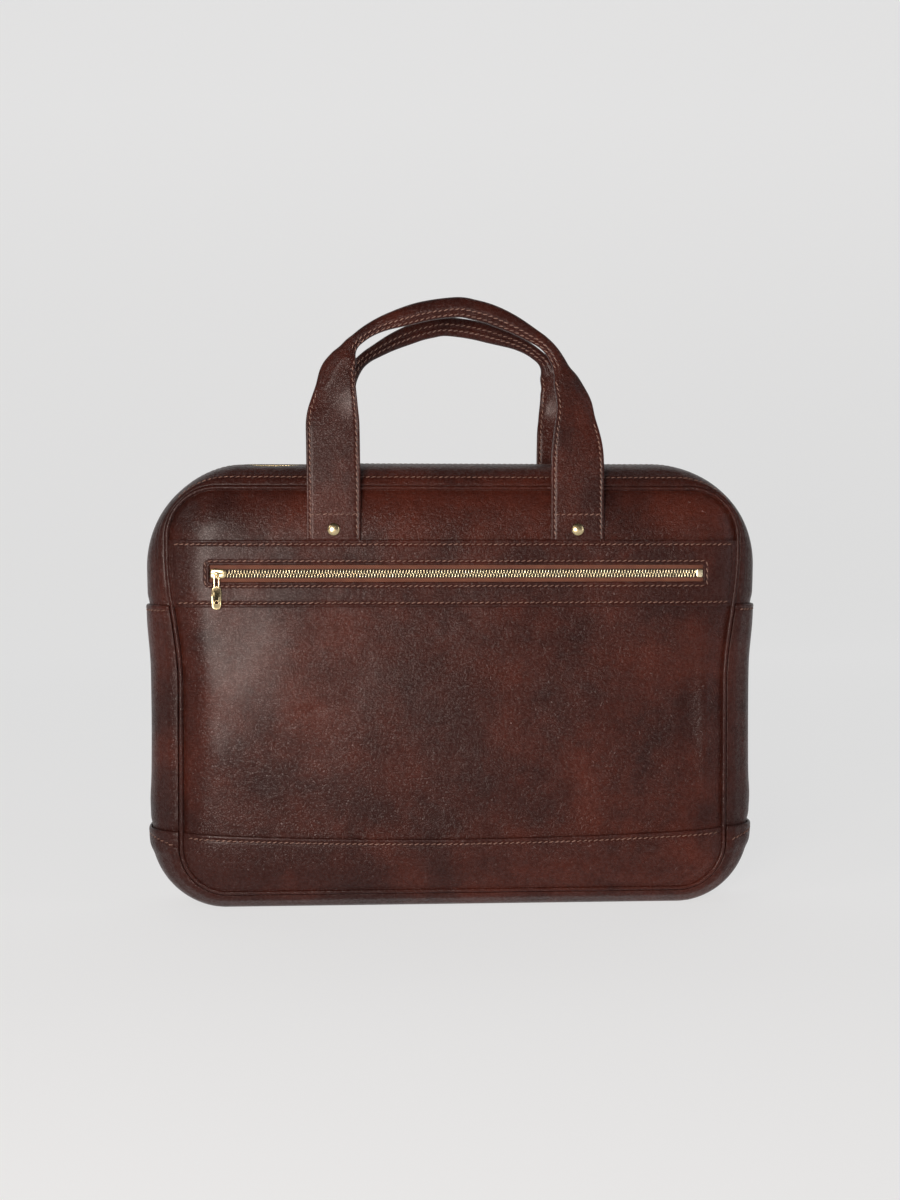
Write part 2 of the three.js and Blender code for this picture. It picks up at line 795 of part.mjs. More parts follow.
const gusset = new THREE.Group();
addPiece(gusset, "top_gusset_front", topStrip(-1), leatherLook);
addPiece(gusset, "top_gusset_back", topStrip(1), leatherLook);
addPiece(gusset, "top_zip_tape", topTape(), tapeLook);
addPiece(gusset, "top_zip_teeth", topChain(), brassLook);
addPiece(gusset, "top_zip_slider", topSlider(), brassLook);
const wallDepths = [0, leather];
const rightSide = rowRange(lowerLapRow, upperSeamRow);
const leftSide = rightSide.map((row) => -row);
const sideWall = (rows) => gussetStrip(rows, wholePlaces, wallDepths, sideLift);
addPiece(gusset, "side_gusset_left", sideWall(leftSide), leatherLook);
addPiece(gusset, "side_gusset_right", sideWall(rightSide), leatherLook);
const base = gussetStrip(baseRows, wholePlaces, wallDepths, baseLift);
addPiece(gusset, "base_gusset", base, leatherLook);
documentCase.add(gusset);

// The back handle is the front one turned half round, and stands a little lower.
for (const [side, turn, rise] of [
  ["front", 0, handleRise],
  ["back", Math.PI, handleRise - backHandleDrop],
]) {
  const assembly = new THREE.Group();
  addPiece(assembly, `${side}_handle`, handleWithBores(rise), leatherLook);
  for (const [hand, direction] of [
    ["left", side === "front" ? -1 : 1],
    ["right", side === "front" ? 1 : -1],
  ]) {
    const stud = addPiece(assembly, `${side}_rivet_${hand}`, rivet(), brassLook);
    stud.rotation.x = Math.PI;
    stud.position.set((direction * handleSpan) / 2, 0, footZ + rivetRise);
  }
  assembly.rotation.z = turn;
  documentCase.add(assembly);
}

export default documentCase;
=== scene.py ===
"""Leather document case, dressed round its CAD frame: leather, zips, handles and stitching."""

import math

import bpy
import numpy as np
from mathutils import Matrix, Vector


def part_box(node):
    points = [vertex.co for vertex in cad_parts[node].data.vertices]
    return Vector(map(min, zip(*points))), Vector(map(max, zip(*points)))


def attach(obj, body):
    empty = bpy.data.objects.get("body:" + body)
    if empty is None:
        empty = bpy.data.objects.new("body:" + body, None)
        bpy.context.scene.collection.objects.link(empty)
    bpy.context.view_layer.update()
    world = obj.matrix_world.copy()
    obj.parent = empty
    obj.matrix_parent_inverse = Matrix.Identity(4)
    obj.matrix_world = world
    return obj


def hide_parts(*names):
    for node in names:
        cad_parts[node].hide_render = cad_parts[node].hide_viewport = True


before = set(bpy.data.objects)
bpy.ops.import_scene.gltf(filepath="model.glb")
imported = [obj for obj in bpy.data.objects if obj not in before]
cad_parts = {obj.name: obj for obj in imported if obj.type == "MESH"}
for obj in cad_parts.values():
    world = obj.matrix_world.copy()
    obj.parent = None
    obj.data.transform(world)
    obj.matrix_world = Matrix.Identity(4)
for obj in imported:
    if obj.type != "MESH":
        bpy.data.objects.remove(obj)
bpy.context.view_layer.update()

bl_info = {
    "name": "Leather document case",
    "version": (1, 0, 0),
    "blender": (4, 5, 0),
    "location": "View3D > Sidebar > Document case",
    "description": "Builds a leather document case with two handles and a zipped front pocket",
    "category": "Add Mesh",
}

MM = 0.001


def box_mm(node):
    """Lowest and highest corner of a frame node, in millimetres."""
    low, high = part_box(node)
    return np.array(low) / MM, np.array(high) / MM


# Sizes read from the frame, in millimetres.
PIPING_LOW, PIPING_HIGH = box_mm("front_piping")
BEAD_RADIUS = (PIPING_HIGH[1] - PIPING_LOW[1]) / 2
SEAM_Y = -(PIPING_LOW[1] + PIPING_HIGH[1]) / 2
FACE_Y = -box_mm("front_pocket_panel")[0][1]
BAND_LOW, BAND_HIGH = box_mm("zip_band")
FOOT_LOW, FOOT_HIGH = box_mm("foot_band")
TOP_HIGH = box_mm("top_gusset_front")[1]
SIDE_HIGH = box_mm("side_gusset_right")[1]
CHAIN_LOW, CHAIN_HIGH = box_mm("front_zip_teeth")
STOP_LOW, STOP_HIGH = box_mm("front_zip_end_stop")
SLIDER_LOW, SLIDER_HIGH = box_mm("front_zip_slider")
PULL_LOW, PULL_HIGH = box_mm("front_zip_pull")
HANDLE_LOW = box_mm("front_handle")[0]
RIVET_LOW, RIVET_HIGH = box_mm("front_rivet_right")
TOP_SLIDER_LOW, TOP_SLIDER_HIGH = box_mm("top_zip_slider")

# Construction, the same as the frame's.
GAP = 0.3
HIDE = 2.0
BAND_HIDE = 1.4
SEAM_RAISE = 1.2
SEAM_SINK = HIDE + GAP - SEAM_RAISE
LAP = 8.0
UPPER_SEAM = SIDE_HIGH[2]
LOWER_SEAM = box_mm("base_gusset")[1][2]
TAPER = (150.0, 235.0)
CROWN = FACE_Y - SEAM_Y
CROWN_REACH = 35.0
EDGE = BEAD_RADIUS + GAP
ZIP_Z = (CHAIN_LOW[2] + CHAIN_HIGH[2]) / 2
ZIP_PLACE = box_mm("top_gusset_back")[0][1] / (SEAM_Y - HIDE)
PIPING_LINE = {
    "lower": FOOT_HIGH[0] + EDGE,
    "upper": PIPING_HIGH[0] - BEAD_RADIUS,
    "bottom": PIPING_LOW[2] + BEAD_RADIUS,
    "top": PIPING_HIGH[2] - BEAD_RADIUS,
    "lower_radius": 31.0,
    "upper_radius": 32.0,
}
WIDEST_LINE = {
    "lower": 202.5,
    "upper": TOP_HIGH[0] + 0.1,
    "bottom": -2.0,
    "top": TOP_HIGH[2] + 0.1,
    "lower_radius": 52.0,
    "upper_radius": 70.0,
}


class CaseSizes(bpy.types.PropertyGroup):
    """Sizes of the sewing, of the zips' teeth and of the floor"""

    stitch_pitch: bpy.props.FloatProperty(
        name="Stitch pitch",
        description="Distance from one stitch to the next",
        default=3.7 * MM,
        unit="LENGTH",
    )
    stitch_length: bpy.props.FloatProperty(
        name="Stitch length",
        description="Length of thread that shows of one stitch",
        default=3.0 * MM,
        unit="LENGTH",
    )
    thread_width: bpy.props.FloatProperty(
        name="Thread width",
        description="Thickness of the sewing thread",
        default=0.72 * MM,
        unit="LENGTH",
    )
    tooth_pitch: bpy.props.FloatProperty(
        name="Tooth pitch",
        description="Distance between two teeth on one side of the zip",
        default=1.94 * MM,
        unit="LENGTH",
    )
    floor_size: bpy.props.FloatProperty(
        name="Floor size",
        description="Width and depth of the pale floor",
        default=14.0,
        unit="LENGTH",
    )


class CaseColours(bpy.types.PropertyGroup):
    """Colours of the leather, the thread, the zips and the floor"""

    # Also the colour of the painted shade between the leather's pebbles.
    leather_dark: bpy.props.StringProperty(
        name="Dark leather",
        description="Hex colour of the leather where the dye is deepest",
        default="#240f0c",
    )
    leather_main: bpy.props.StringProperty(
        name="Main leather",
        description="Hex colour of most of the leather",
        default="#3a1912",
    )
    leather_warm: bpy.props.StringProperty(
        name="Warm leather",
        description="Hex colour of the patches where the dye has thinned",
        default="#582416",
    )
    thread: bpy.props.StringProperty(
        name="Thread",
        description="Hex colour of the sewing thread",
        default="#876759",
    )
    zip_tape: bpy.props.StringProperty(
        name="Zip tape",
        description="Hex colour of the woven zip tape",
        default="#70422d",
    )
    brass: bpy.props.StringProperty(
        name="Brass",
        description="Hex colour of the zips' polished teeth",
        default="#eedfba",
    )
    casting: bpy.props.StringProperty(
        name="Cast brass",
        description="Hex colour of the rivets, the slider and its pull",
        default="#c6b48c",
    )
    floor: bpy.props.StringProperty(
        name="Floor",
        description="Hex colour that the floor and backdrop glow with",
        default="#e4e4e4",
    )
    floor_shade: bpy.props.StringProperty(
        name="Floor shade",
        description="Hex colour of the floor's paper, which takes the shadows",
        default="#8a8a8a",
    )


def smooth(low, high, x):
    """Share from 0 to 1 that rises from low to high with a level start and end."""
    t = np.clip((x - low) / (high - low), 0, 1)
    return t * t * (3 - 2 * t)


def bump_at(x, centre, width):
    """A bell of height 1 round a centre."""
    return np.exp(-(((x - centre) / width) ** 2))


def half_width(z, line):
    """Half width of an outline at a height: the lower width, then the upper one, eased."""
    return line["lower"] + (line["upper"] - line["lower"]) * smooth(*TAPER, z)


def outline(station, line, inset=0.0):
    """Point of an outline at a station, counted from the middle of the base: 0 to 1 is the base,
    1 to 2 the lower corner's arc, 2 to 3 the side, 3 to 4 the upper corner's arc and 4 to 5 the
    top. Negative stations are the left half. The seams sit at fixed shares of the side."""
    t = np.abs(np.asarray(station, float))
    side = np.where(np.asarray(station) < 0, -1.0, 1.0)
    low_r = np.maximum(line["lower_radius"] - inset, 2.0)
    high_r = np.maximum(line["upper_radius"] - inset, 2.0)
    bottom = line["bottom"] + inset
    top = line["top"] - inset
    low, high = bottom + low_r, top - high_r
    low_x = half_width(low, line) - inset - low_r
    high_x = half_width(high, line) - inset - high_r
    share = t - np.floor(np.clip(t, 0, 4.999))
    turn = share * math.pi / 2
    low_seam = (LOWER_SEAM - low) * np.clip(share / 0.05, 0, 1)
    middle = (UPPER_SEAM - LOWER_SEAM) * np.clip((share - 0.05) / 0.75, 0, 1)
    rest = (high - UPPER_SEAM) * np.clip((share - 0.8) / 0.2, 0, 1)
    side_z = low + low_seam + middle + rest
    part = [t < 1, t < 2, t < 3, t < 4]
    x = np.select(
        part,
        [
            low_x * share,
            low_x + low_r * np.sin(turn),
            half_width(side_z, line) - inset,
            high_x + high_r * np.cos(turn),
        ],
        high_x * (1 - share),
    )
    z = np.select(
        part,
        [
            bottom + 0 * share,
            low - low_r * np.cos(turn),
            side_z,
            high + high_r * np.sin(turn),
        ],
        top + 0 * share,
    )
    return x * side, z


def edge_distance(x, z):
    """Distance inwards from the piping line, for points of a face."""
    line = PIPING_LINE
    dx = half_width(z, line) - np.abs(x)
    high, low = line["top"] - z, z - line["bottom"]
    dz = np.minimum(high, low)
    r = np.where(high < low, line["upper_radius"], line["lower_radius"])
    corner = r - np.hypot(np.maximum(r - dx, 0), np.maximum(r - dz, 0))
    return np.where((dx < r) & (dz < r), corner, np.minimum(dx, dz))


# Soft folds and dents of both faces: centre, half lengths along the fold and across it, the
# fold's angle from the horizontal and its height, in millimetres and degrees.
FRONT_FOLDS = (
    {"x": -10, "z": 118, "long": 130, "wide": 75, "angle": 0, "height": 4.0},
    {"x": 167, "z": 118, "long": 44, "wide": 5.0, "angle": 91, "height": 1.5},
    {"x": 155, "z": 122, "long": 46, "wide": 7.0, "angle": 93, "height": -1.1},
    {"x": -130, "z": 135, "long": 60, "wide": 42, "angle": 80, "height": 1.1},
    {"x": 20, "z": 120, "long": 80, "wide": 45, "angle": 20, "height": -0.9},
    {"x": 110, "z": 150, "long": 60, "wide": 16, "angle": 38, "height": 0.5},
    {"x": 128, "z": 128, "long": 60, "wide": 14, "angle": 38, "height": -0.5},
    {"x": -95, "z": 133, "long": 16, "wide": 1.6, "angle": 8, "height": -0.34},
    {"x": -88, "z": 129, "long": 13, "wide": 1.4, "angle": -14, "height": -0.3},
    {"x": -104, "z": 126, "long": 9, "wide": 1.2, "angle": 24, "height": -0.26},
    {"x": -70, "z": 138, "long": 12, "wide": 1.4, "angle": -4, "height": -0.26},
    {"x": 60, "z": 66, "long": 70, "wide": 9, "angle": -3, "height": -0.5},
    {"x": -150, "z": 258, "long": 18, "wide": 12, "angle": 40, "height": 0.7},
    {"x": 158, "z": 258, "long": 18, "wide": 12, "angle": -40, "height": 0.6},
)

BACK_FOLDS = (
    {"x": 60, "z": 120, "long": 90, "wide": 50, "angle": 30, "height": 1.0},
    {"x": -110, "z": 170, "long": 50, "wide": 12, "angle": 70, "height": -0.6},
    {"x": 140, "z": 90, "long": 40, "wide": 7, "angle": 100, "height": 0.6},
)


def folds_at(x, z, folds):
    """Sum of soft ridges: each is a bell along its length times a bell across it."""
    total = 0 * x
    for fold in folds:
        turn = math.radians(fold["angle"])
        dx, dz = x - fold["x"], z - fold["z"]
        along = dx * math.cos(turn) + dz * math.sin(turn)
        across = dz * math.cos(turn) - dx * math.sin(turn)
        bell = bump_at(along, 0, fold["long"]) * bump_at(across, 0, fold["wide"])
        total = total + fold["height"] * bell
    return total


def swell(x, z, seed, size, height):
    """Slow uneven waves of leather: a sum of sine waves in seeded directions."""
    rng = np.random.default_rng(seed)
    total = 0 * x
    for _ in range(9):
        turn, phase = rng.uniform(0, 2 * math.pi, 2)
        length = size * rng.uniform(0.6, 1.6)
        along = x * math.cos(turn) + z * math.sin(turn)
        total = total + np.sin(2 * math.pi * along / length + phase)
    return total * height / 3


def face_out(x, z, folds=FRONT_FOLDS, seed=3):
    """How far a face stands out from the middle of the case: the seam depth plus a crown that
    rises by a cubic from the edge, less a turned-down edge, plus folds and slow waves."""
    inward = edge_distance(x, z) - EDGE
    crown = CROWN * (1 - np.clip(1 - inward / CROWN_REACH, 0, 1) ** 3)
    turned = 0.6 * np.exp(-((np.maximum(inward, 0) / 1.5) ** 2))
    free = smooth(0, 14, inward)
    waves = swell(x, z, seed, 75, 0.28) + swell(x, z, seed + 1, 26, 0.05)
    return SEAM_Y + crown - turned + free * (folds_at(x, z, folds) + waves)


def bulge_at(place):
    """Share of the gusset's bulge: 0 at both piping lines and 1 in the middle. It is one less
    the cube of the place, raised to five eighths."""
    return (1 - np.abs(place) ** 3) ** 0.625


# Soft dents of the gusset, placed by station round the outline and by place across it.
GUSSET_DENTS = (
    {"station": -4.12, "place": -0.34, "long": 0.16, "wide": 0.2, "height": -4.0},
    {"station": -3.55, "place": -0.6, "long": 0.12, "wide": 0.4, "height": -0.6},
    {"station": 3.5, "place": -0.6, "long": 0.12, "wide": 0.4, "height": -0.6},
    {"station": 4.5, "place": 0.4, "long": 0.3, "wide": 0.4, "height": -0.7},
    {"station": 2.45, "place": 0.0, "long": 0.22, "wide": 0.5, "height": -0.9},
    {"station": -2.4, "place": 0.0, "long": 0.2, "wide": 0.5, "height": -0.8},
    {"station": 2.15, "place": -0.5, "long": 0.05, "wide": 0.5, "height": 0.6},
    {"station": -2.15, "place": -0.5, "long": 0.05, "wide": 0.5, "height": 0.5},
)

# How far the gusset swells out past the piping, which turns a dent's height into a share.
GUSSET_REACH = 17.0


def gusset_point(station, place, depth):
    """Point of the gusset: the piping line and the widest outline mixed by the bulge at that
    place across it, with the base kept level with the floor."""
    edge_x, edge_z = outline(station, PIPING_LINE, -EDGE)
    wide_x, wide_z = outline(station, WIDEST_LINE, depth)
    bulge = bulge_at(place)
    dent = 0 * (station + place)
    for d in GUSSET_DENTS:
        bell = bump_at(station, d["station"], d["long"]) * bump_at(place, d["place"], d["wide"])
        dent = dent + d["height"] * bell * (1 - np.abs(place) ** 4)
    # The turned seam beside the piping: a soft ridge, then a shallow valley.
    roll = bump_at(np.abs(place), 0.965, 0.03) * 0.5 - bump_at(np.abs(place), 0.86, 0.06) * 0.5
    swollen = bulge + (dent + roll) / GUSSET_REACH
    x = edge_x + (wide_x - edge_x) * swollen
    z = edge_z + (wide_z - edge_z) * swollen
    floor = np.maximum(depth, 0)
    return np.stack([x, place * (SEAM_Y - depth) + 0 * x, np.maximum(z, floor)], -1)


def grid_normals(grid):
    """Unit normals of a grid of points, from its differences along both directions."""
    along = np.gradient(grid, axis=0)
    across = np.gradient(grid, axis=1)
    n = np.cross(along, across)
    return n / np.maximum(np.linalg.norm(n, axis=-1, keepdims=True), 1e-12)


def grid_quads(rows, columns, loop_rows=False, loop_columns=False):
    """Quads of a grid whose points are numbered row by row."""
    r = np.arange(rows if loop_rows else rows - 1)[:, None]
    c = np.arange(columns if loop_columns else columns - 1)[None, :]
    r2, c2 = (r + 1) % rows, (c + 1) % columns
    quads = [r * columns + c, r * columns + c2, r2 * columns + c2, r2 * columns + c]
    return np.stack(np.broadcast_arrays(*quads), -1).reshape(-1, 4)


def signed_volume(points, quads, triangles):
    """Volume inside a closed mesh, negative when its faces point inwards."""
    corners = [quads[:, [0, 1, 2]], quads[:, [0, 2, 3]], triangles]
    t = points[np.concatenate(corners).astype(int)]
    return float(np.einsum("ij,ij->", t[:, 0], np.cross(t[:, 1], t[:, 2])) / 6)


NO_TRIANGLES = np.zeros((0, 3), int)


def new_object(name, points, quads, material, triangles=NO_TRIANGLES):
    """A mesh object from points in millimetres and closed, outward faces."""
    points = np.asarray(points, float).reshape(-1, 3)
    if signed_volume(points, quads, triangles) < 0:
        quads, triangles = quads[:, ::-1], triangles[:, ::-1]
    mesh = bpy.data.meshes.new(name)
    mesh.vertices.add(len(points))
    mesh.vertices.foreach_set("co", (points * MM).astype(np.float32).ravel())
    loops = np.concatenate([quads.ravel(), triangles.ravel()]).astype(np.int32)
    mesh.loops.add(len(loops))
    mesh.loops.foreach_set("vertex_index", loops)
    count = len(quads) + len(triangles)
    sizes = np.concatenate([np.full(len(quads), 4), np.full(len(triangles), 3)])
    starts = np.concatenate([[0], np.cumsum(sizes)[:-1]])
    mesh.polygons.add(count)
    mesh.polygons.foreach_set("loop_start", starts.astype(np.int32))
    mesh.polygons.foreach_set("use_smooth", np.ones(count, bool))
    mesh.update(calc_edges=True)
    if mesh.validate():
        raise RuntimeError(f"{name} has broken faces")
    mesh.materials.append(material)
    piece = bpy.data.objects.new(name, mesh)
    bpy.context.scene.collection.objects.link(piece)
    return piece


def place_piece(piece, body, slot, *nodes):
    """Ties a piece to its body and hides the frame nodes that it stands for. The slot, its finish,
    is not used.
    """
    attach(piece, body)
    if nodes:
        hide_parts(*nodes)
    return piece


# Points on each rounded rim of a sheet, between its outer and its inner side.
RIM_POINTS = 5


def hide_sheet(grid, thickness, n, loop=False):
    """A sheet of leather from its outer side and that side's normals. The inner side lies one
    thickness below, and both edge columns are carried round in a half circle. Returns points
    and quads."""
    half = thickness / 2
    turns = np.linspace(0, math.pi, RIM_POINTS + 2)[1:-1]

    def rim(edge, inside):
        out = grid[:, edge] - grid[:, inside]
        out = out - np.sum(out * n[:, edge], -1, keepdims=True) * n[:, edge]
        out = out / np.linalg.norm(out, axis=-1, keepdims=True)
        centre = grid[:, edge] - n[:, edge] * half
        arcs = [centre + half * (out * math.sin(a) + n[:, edge] * math.cos(a)) for a in turns]
        return np.stack(arcs, 1)

    inner = (grid - n * thickness)[:, ::-1]
    ring = np.concatenate([grid, rim(-1, -2), inner, rim(0, 1)[:, ::-1]], 1)
    rows, columns = ring.shape[:2]
    quads = grid_quads(rows, columns, loop, True)
    if not loop:
        first, last = end_cap(ring, 0), end_cap(ring, rows - 1)
        quads = np.concatenate([quads, first, last[:, ::-1]])
    return ring.reshape(-1, 3), quads


def end_cap(ring, row):
    """Quads that close one end of a flattened ring by pairing its two sides."""
    columns = ring.shape[1]
    across = columns // 2 - RIM_POINTS
    start = row * columns
    a = np.arange(-(RIM_POINTS // 2), across + RIM_POINTS // 2 - 1)
    top = a % columns
    top_next = (a + 1) % columns
    low = (columns - 1 - a - RIM_POINTS) % columns
    low_next = (low - 1) % columns
    quads = np.stack([top, low, low_next, top_next], -1)
    keep = (top != low) & (top_next != low_next)
    return start + quads[keep]


def tube(path, out, side, radii, loop=False):
    """A round section carried along a path: out and side are its two directions at each row."""
    steps = radii.shape[-1]
    turn = np.linspace(0, 2 * math.pi, steps, endpoint=False)
    c = (np.cos(turn) * radii)[..., None]
    s = (np.sin(turn) * radii)[..., None]
    ring = path[:, None] + out[:, None] * c + side[:, None] * s
    return ring, grid_quads(len(path), steps, loop, True)


def closed_ends(ring, quads):
    """Closes a tube's two ends with fans to their middles."""
    rows, columns = ring.shape[:2]
    middles = np.stack([ring[0].mean(0), ring[-1].mean(0)])
    i = np.arange(columns)
    j = (i + 1) % columns
    last = (rows - 1) * columns
    first_fan = np.stack([j, i, np.full(columns, rows * columns)], -1)
    last_fan = np.stack([last + i, last + j, np.full(columns, rows * columns + 1)], -1)
    points = np.concatenate([ring.reshape(-1, 3), middles])
    return points, quads, np.concatenate([first_fan, last_fan])


def join_parts(parts):
    """Joins meshes given as points, quads and triangles into one."""
    points, quads, triangles, start = [], [], [], 0
    for p, q, t in parts:
        flip = signed_volume(p, q, t) < 0
        q, t = (q[:, ::-1], t[:, ::-1]) if flip else (q, t)
        points.append(p)
        quads.append(q + start)
        triangles.append(t + start)
        start += len(p)
    return np.concatenate(points), np.concatenate(quads), np.concatenate(triangles)


def rounded_block(rows=6, around=10, squareness=0.4):
    """A unit block with round edges: a sphere whose sines and cosines are raised to a power."""

    def power(v):
        return np.sign(v) * np.abs(v) ** squareness

    lat = np.linspace(-math.pi / 2, math.pi / 2, rows + 2)[1:-1, None]
    lon = np.linspace(0, 2 * math.pi, around, endpoint=False)[None, :] + math.pi / around
    x = power(np.cos(lat)) * power(np.cos(lon))
    y = power(np.cos(lat)) * power(np.sin(lon))
    z = power(np.sin(lat)) + 0 * lon
    ring = np.stack([x, y, z], -1)
    quads = grid_quads(rows, around, False, True)
    i = np.arange(around)
    j = (i + 1) % around
    poles = np.array([[0, 0, -1.0], [0, 0, 1.0]])
    n = rows * around
    low = np.stack([j, i, np.full(around, n)], -1)
    high = np.stack([n - around + i, n - around + j, np.full(around, n + 1)], -1)
    return np.concatenate([ring.reshape(-1, 3), poles]), quads, np.concatenate([low, high])


def copies(template, centres, axes, sizes):
    """Many copies of a small block: axes holds three directions for each, sizes its half sizes."""
    points, quads, triangles = template
    scaled = points[None] * sizes[:, None]
    placed = np.einsum("kpi,kij->kpj", scaled, axes) + centres[:, None]
    start = (np.arange(len(centres)) * len(points))[:, None, None]
    all_quads = (quads[None] + start).reshape(-1, 4)
    all_triangles = (triangles[None] + start).reshape(-1, 3)
    return placed.reshape(-1, 3), all_quads, all_triangles


def along_path(path, normals, pitch, offset=0.5):
    """Points at an even pitch along a path, with the path's direction and normal there. The
    offset is the first point's place, as a share of the pitch."""
    lengths = np.concatenate([[0], np.cumsum(np.linalg.norm(np.diff(path, axis=0), axis=1))])
    count = max(int(lengths[-1] / pitch), 1)
    at = (np.arange(count) + offset) * lengths[-1] / count
    ends = np.stack([at - pitch * 0.3, at + pitch * 0.3])
    ends = np.clip(ends, 0, lengths[-1])

    def read(values, where):
        return np.stack([np.interp(where, lengths, values[:, i]) for i in range(3)], -1)

    direction = read(path, ends[1]) - read(path, ends[0])
    direction /= np.linalg.norm(direction, axis=-1, keepdims=True)
    normal = read(normals, at)
    normal -= np.sum(normal * direction, -1, keepdims=True) * direction
    normal /= np.linalg.norm(normal, axis=-1, keepdims=True)
    return read(path, at), direction, normal


# Turn of each stitch off its row, in radians, and the spread of those turns.
STITCH_LEAN = 0.32
STITCH_SPREAD = 0.05


def stitch_row(path, normals):
    """A row of stitches: short threads at an even pitch, each leaning a little off the row."""
    sizes = bpy.context.scene.case_sizes
    pitch, length = sizes.stitch_pitch / MM, sizes.stitch_length / MM
    width = sizes.thread_width / MM
    centre, direction, normal = along_path(path, normals, pitch)
    side = np.cross(normal, direction)
    rng = np.random.default_rng(len(path))
    turn = STITCH_LEAN + rng.normal(0, STITCH_SPREAD, (len(centre), 1))
    thread = direction * np.cos(turn) + side * np.sin(turn)
    across = np.cross(normal, thread)
    axes = np.stack([across, normal, thread], 1)
    half = np.array([width / 2, width * 0.42, length / 2])
    template = rounded_block(5, 6, 0.8)
    return copies(template, centre + normal * 0.02, axes, np.tile(half, (len(centre), 1)))


def linear(hex_colour):
    """Turns an sRGB hex colour into linear values with full alpha."""
    srgb = [int(hex_colour[i : i + 2], 16) / 255 for i in (1, 3, 5)]
    return [c / 12.92 if c <= 0.04045 else ((c + 0.055) / 1.055) ** 2.4 for c in srgb] + [1]


def node(tree, kind, settings=(), **links):
    """Adds a shader node with its settings and its inputs, values or other nodes' sockets."""
    made = tree.nodes.new(kind)
    for name, value in dict(settings).items():
        setattr(made, name, value)
    for name, value in links.items():
        key = int(name[1:]) if name[0] == "i" and name[1:].isdigit() else name.replace("_", " ")
        socket = made.inputs[key]
        if isinstance(value, bpy.types.NodeSocket):
            tree.links.new(value, socket)
        else:
            socket.default_value = value
    return made


def start_material(name):
    """An empty material with its shader and its pattern coordinates in metres."""
    material = bpy.data.materials.new(name)
    material.use_nodes = True
    tree = material.node_tree
    tree.nodes.clear()
    shader = node(tree, "ShaderNodeBsdfPrincipled")
    output = node(tree, "ShaderNodeOutputMaterial", Surface=shader.outputs[0])
    output.target = "ALL"
    where = node(tree, "ShaderNodeTexCoord").outputs["Object"]
    return material, tree, shader, where


def noise(tree, where, millimetres, detail=3.0, roughness=0.5, distortion=0.0):
    """Noise whose blotches are about as many millimetres across as stated."""
    made = node(
        tree,
        "ShaderNodeTexNoise",
        Vector=where,
        Scale=1 / (millimetres * MM),
        Detail=detail,
        Roughness=roughness,
        Distortion=distortion,
    )
    return made.outputs["Fac"]


def span(tree, value, low, high, to_low=0.0, to_high=1.0):
    """Maps a value from one range to another, held within it."""
    made = node(tree, "ShaderNodeMapRange", Value=value)
    ends = {"From Min": low, "From Max": high, "To Min": to_low, "To Max": to_high}
    for key, number in ends.items():
        made.inputs[key].default_value = number
    return made.outputs["Result"]


def blend_colours(tree, share, first, second):
    """Mixes two colours, hex or sockets, by a share."""
    made = node(tree, "ShaderNodeMix", {"data_type": "RGBA"})
    tree.links.new(share, made.inputs["Factor"])
    for key, colour in ((6, first), (7, second)):
        if isinstance(colour, str):
            made.inputs[key].default_value = linear(colour)
        else:
            tree.links.new(colour, made.inputs[key])
    return made.outputs[2]


def combine(tree, a, b, operation="MULTIPLY"):
    """Two values, numbers or sockets, multiplied unless another operation is named."""
    return node(tree, "ShaderNodeMath", {"operation": operation}, i0=a, i1=b).outputs[0]


def waxed_leather(name, warmth=0.5, gloss=0.4):
    """Waxed, hand-mottled cowhide: dark where the dye is deep, red where it was rubbed back,
    with a fine pebbled grain and a soft coat of wax that spreads the highlights."""
    colours = bpy.context.scene.case_colours
    material, tree, shader, where = start_material(name)
    clouds = noise(tree, where, 120, 5, 0.55, 0.3)
    patches = noise(tree, where, 48, 6, 0.62, 0.2)
    specks = noise(tree, where, 5, 4, 0.6)
    # The grain is about 1.3 mm from crease to crease, over pebbles about 2 mm across.
    grain = node(
        tree, "ShaderNodeTexVoronoi", {"feature": "DISTANCE_TO_EDGE"}, Vector=where, Scale=760
    ).outputs["Distance"]
    wrinkle = noise(tree, where, 1.9, 2, 0.6)
    mottle = combine(tree, clouds, patches)
    warm = span(tree, mottle, 0.3 - warmth * 0.2, 0.6 - warmth * 0.2, 0, 0.8)
    deep = span(tree, patches, 0.34, 0.62, 0.3, 1)
    main = blend_colours(tree, deep, colours.leather_dark, colours.leather_main)
    dyed = blend_colours(tree, warm, main, colours.leather_warm)
    worn = span(tree, specks, 0.45, 0.75, 0, 0.3)
    colour = blend_colours(tree, worn, dyed, colours.leather_dark)
    # Between its pebbles the leather is darkened as painted shade, and takes less of a shine.
    painted_hollow_shade = span(tree, wrinkle, 0.4, 0.56, 0.13, 0)
    colour = blend_colours(tree, painted_hollow_shade, colour, colours.leather_dark)
    tree.links.new(colour, shader.inputs["Base Color"])
    tree.links.new(span(tree, specks, 0.3, 0.7, gloss, gloss + 0.1), shader.inputs["Roughness"])
    shader.inputs["IOR"].default_value = 1.5
    shine = span(tree, wrinkle, 0.4, 0.6, 0.11, 0.25)
    tree.links.new(shine, shader.inputs["Specular IOR Level"])
    shader.inputs["Coat Weight"].default_value = 0.08
    shader.inputs["Coat Roughness"].default_value = 0.25
    creases = span(tree, grain, 0.0, 0.12)
    fine = combine(tree, combine(tree, creases, 0.6), combine(tree, wrinkle, 1.4), "ADD")
    # Slack in the hide, about 1 cm across, which makes the shine uneven.
    slack = combine(tree, noise(tree, where, 9, 2), 0.9)
    height = combine(tree, fine, slack, "ADD")
    bumps = node(tree, "ShaderNodeBump", Strength=1.0, Distance=0.48 * MM, Height=height)
    tree.links.new(bumps.outputs["Normal"], shader.inputs["Normal"])
    return material


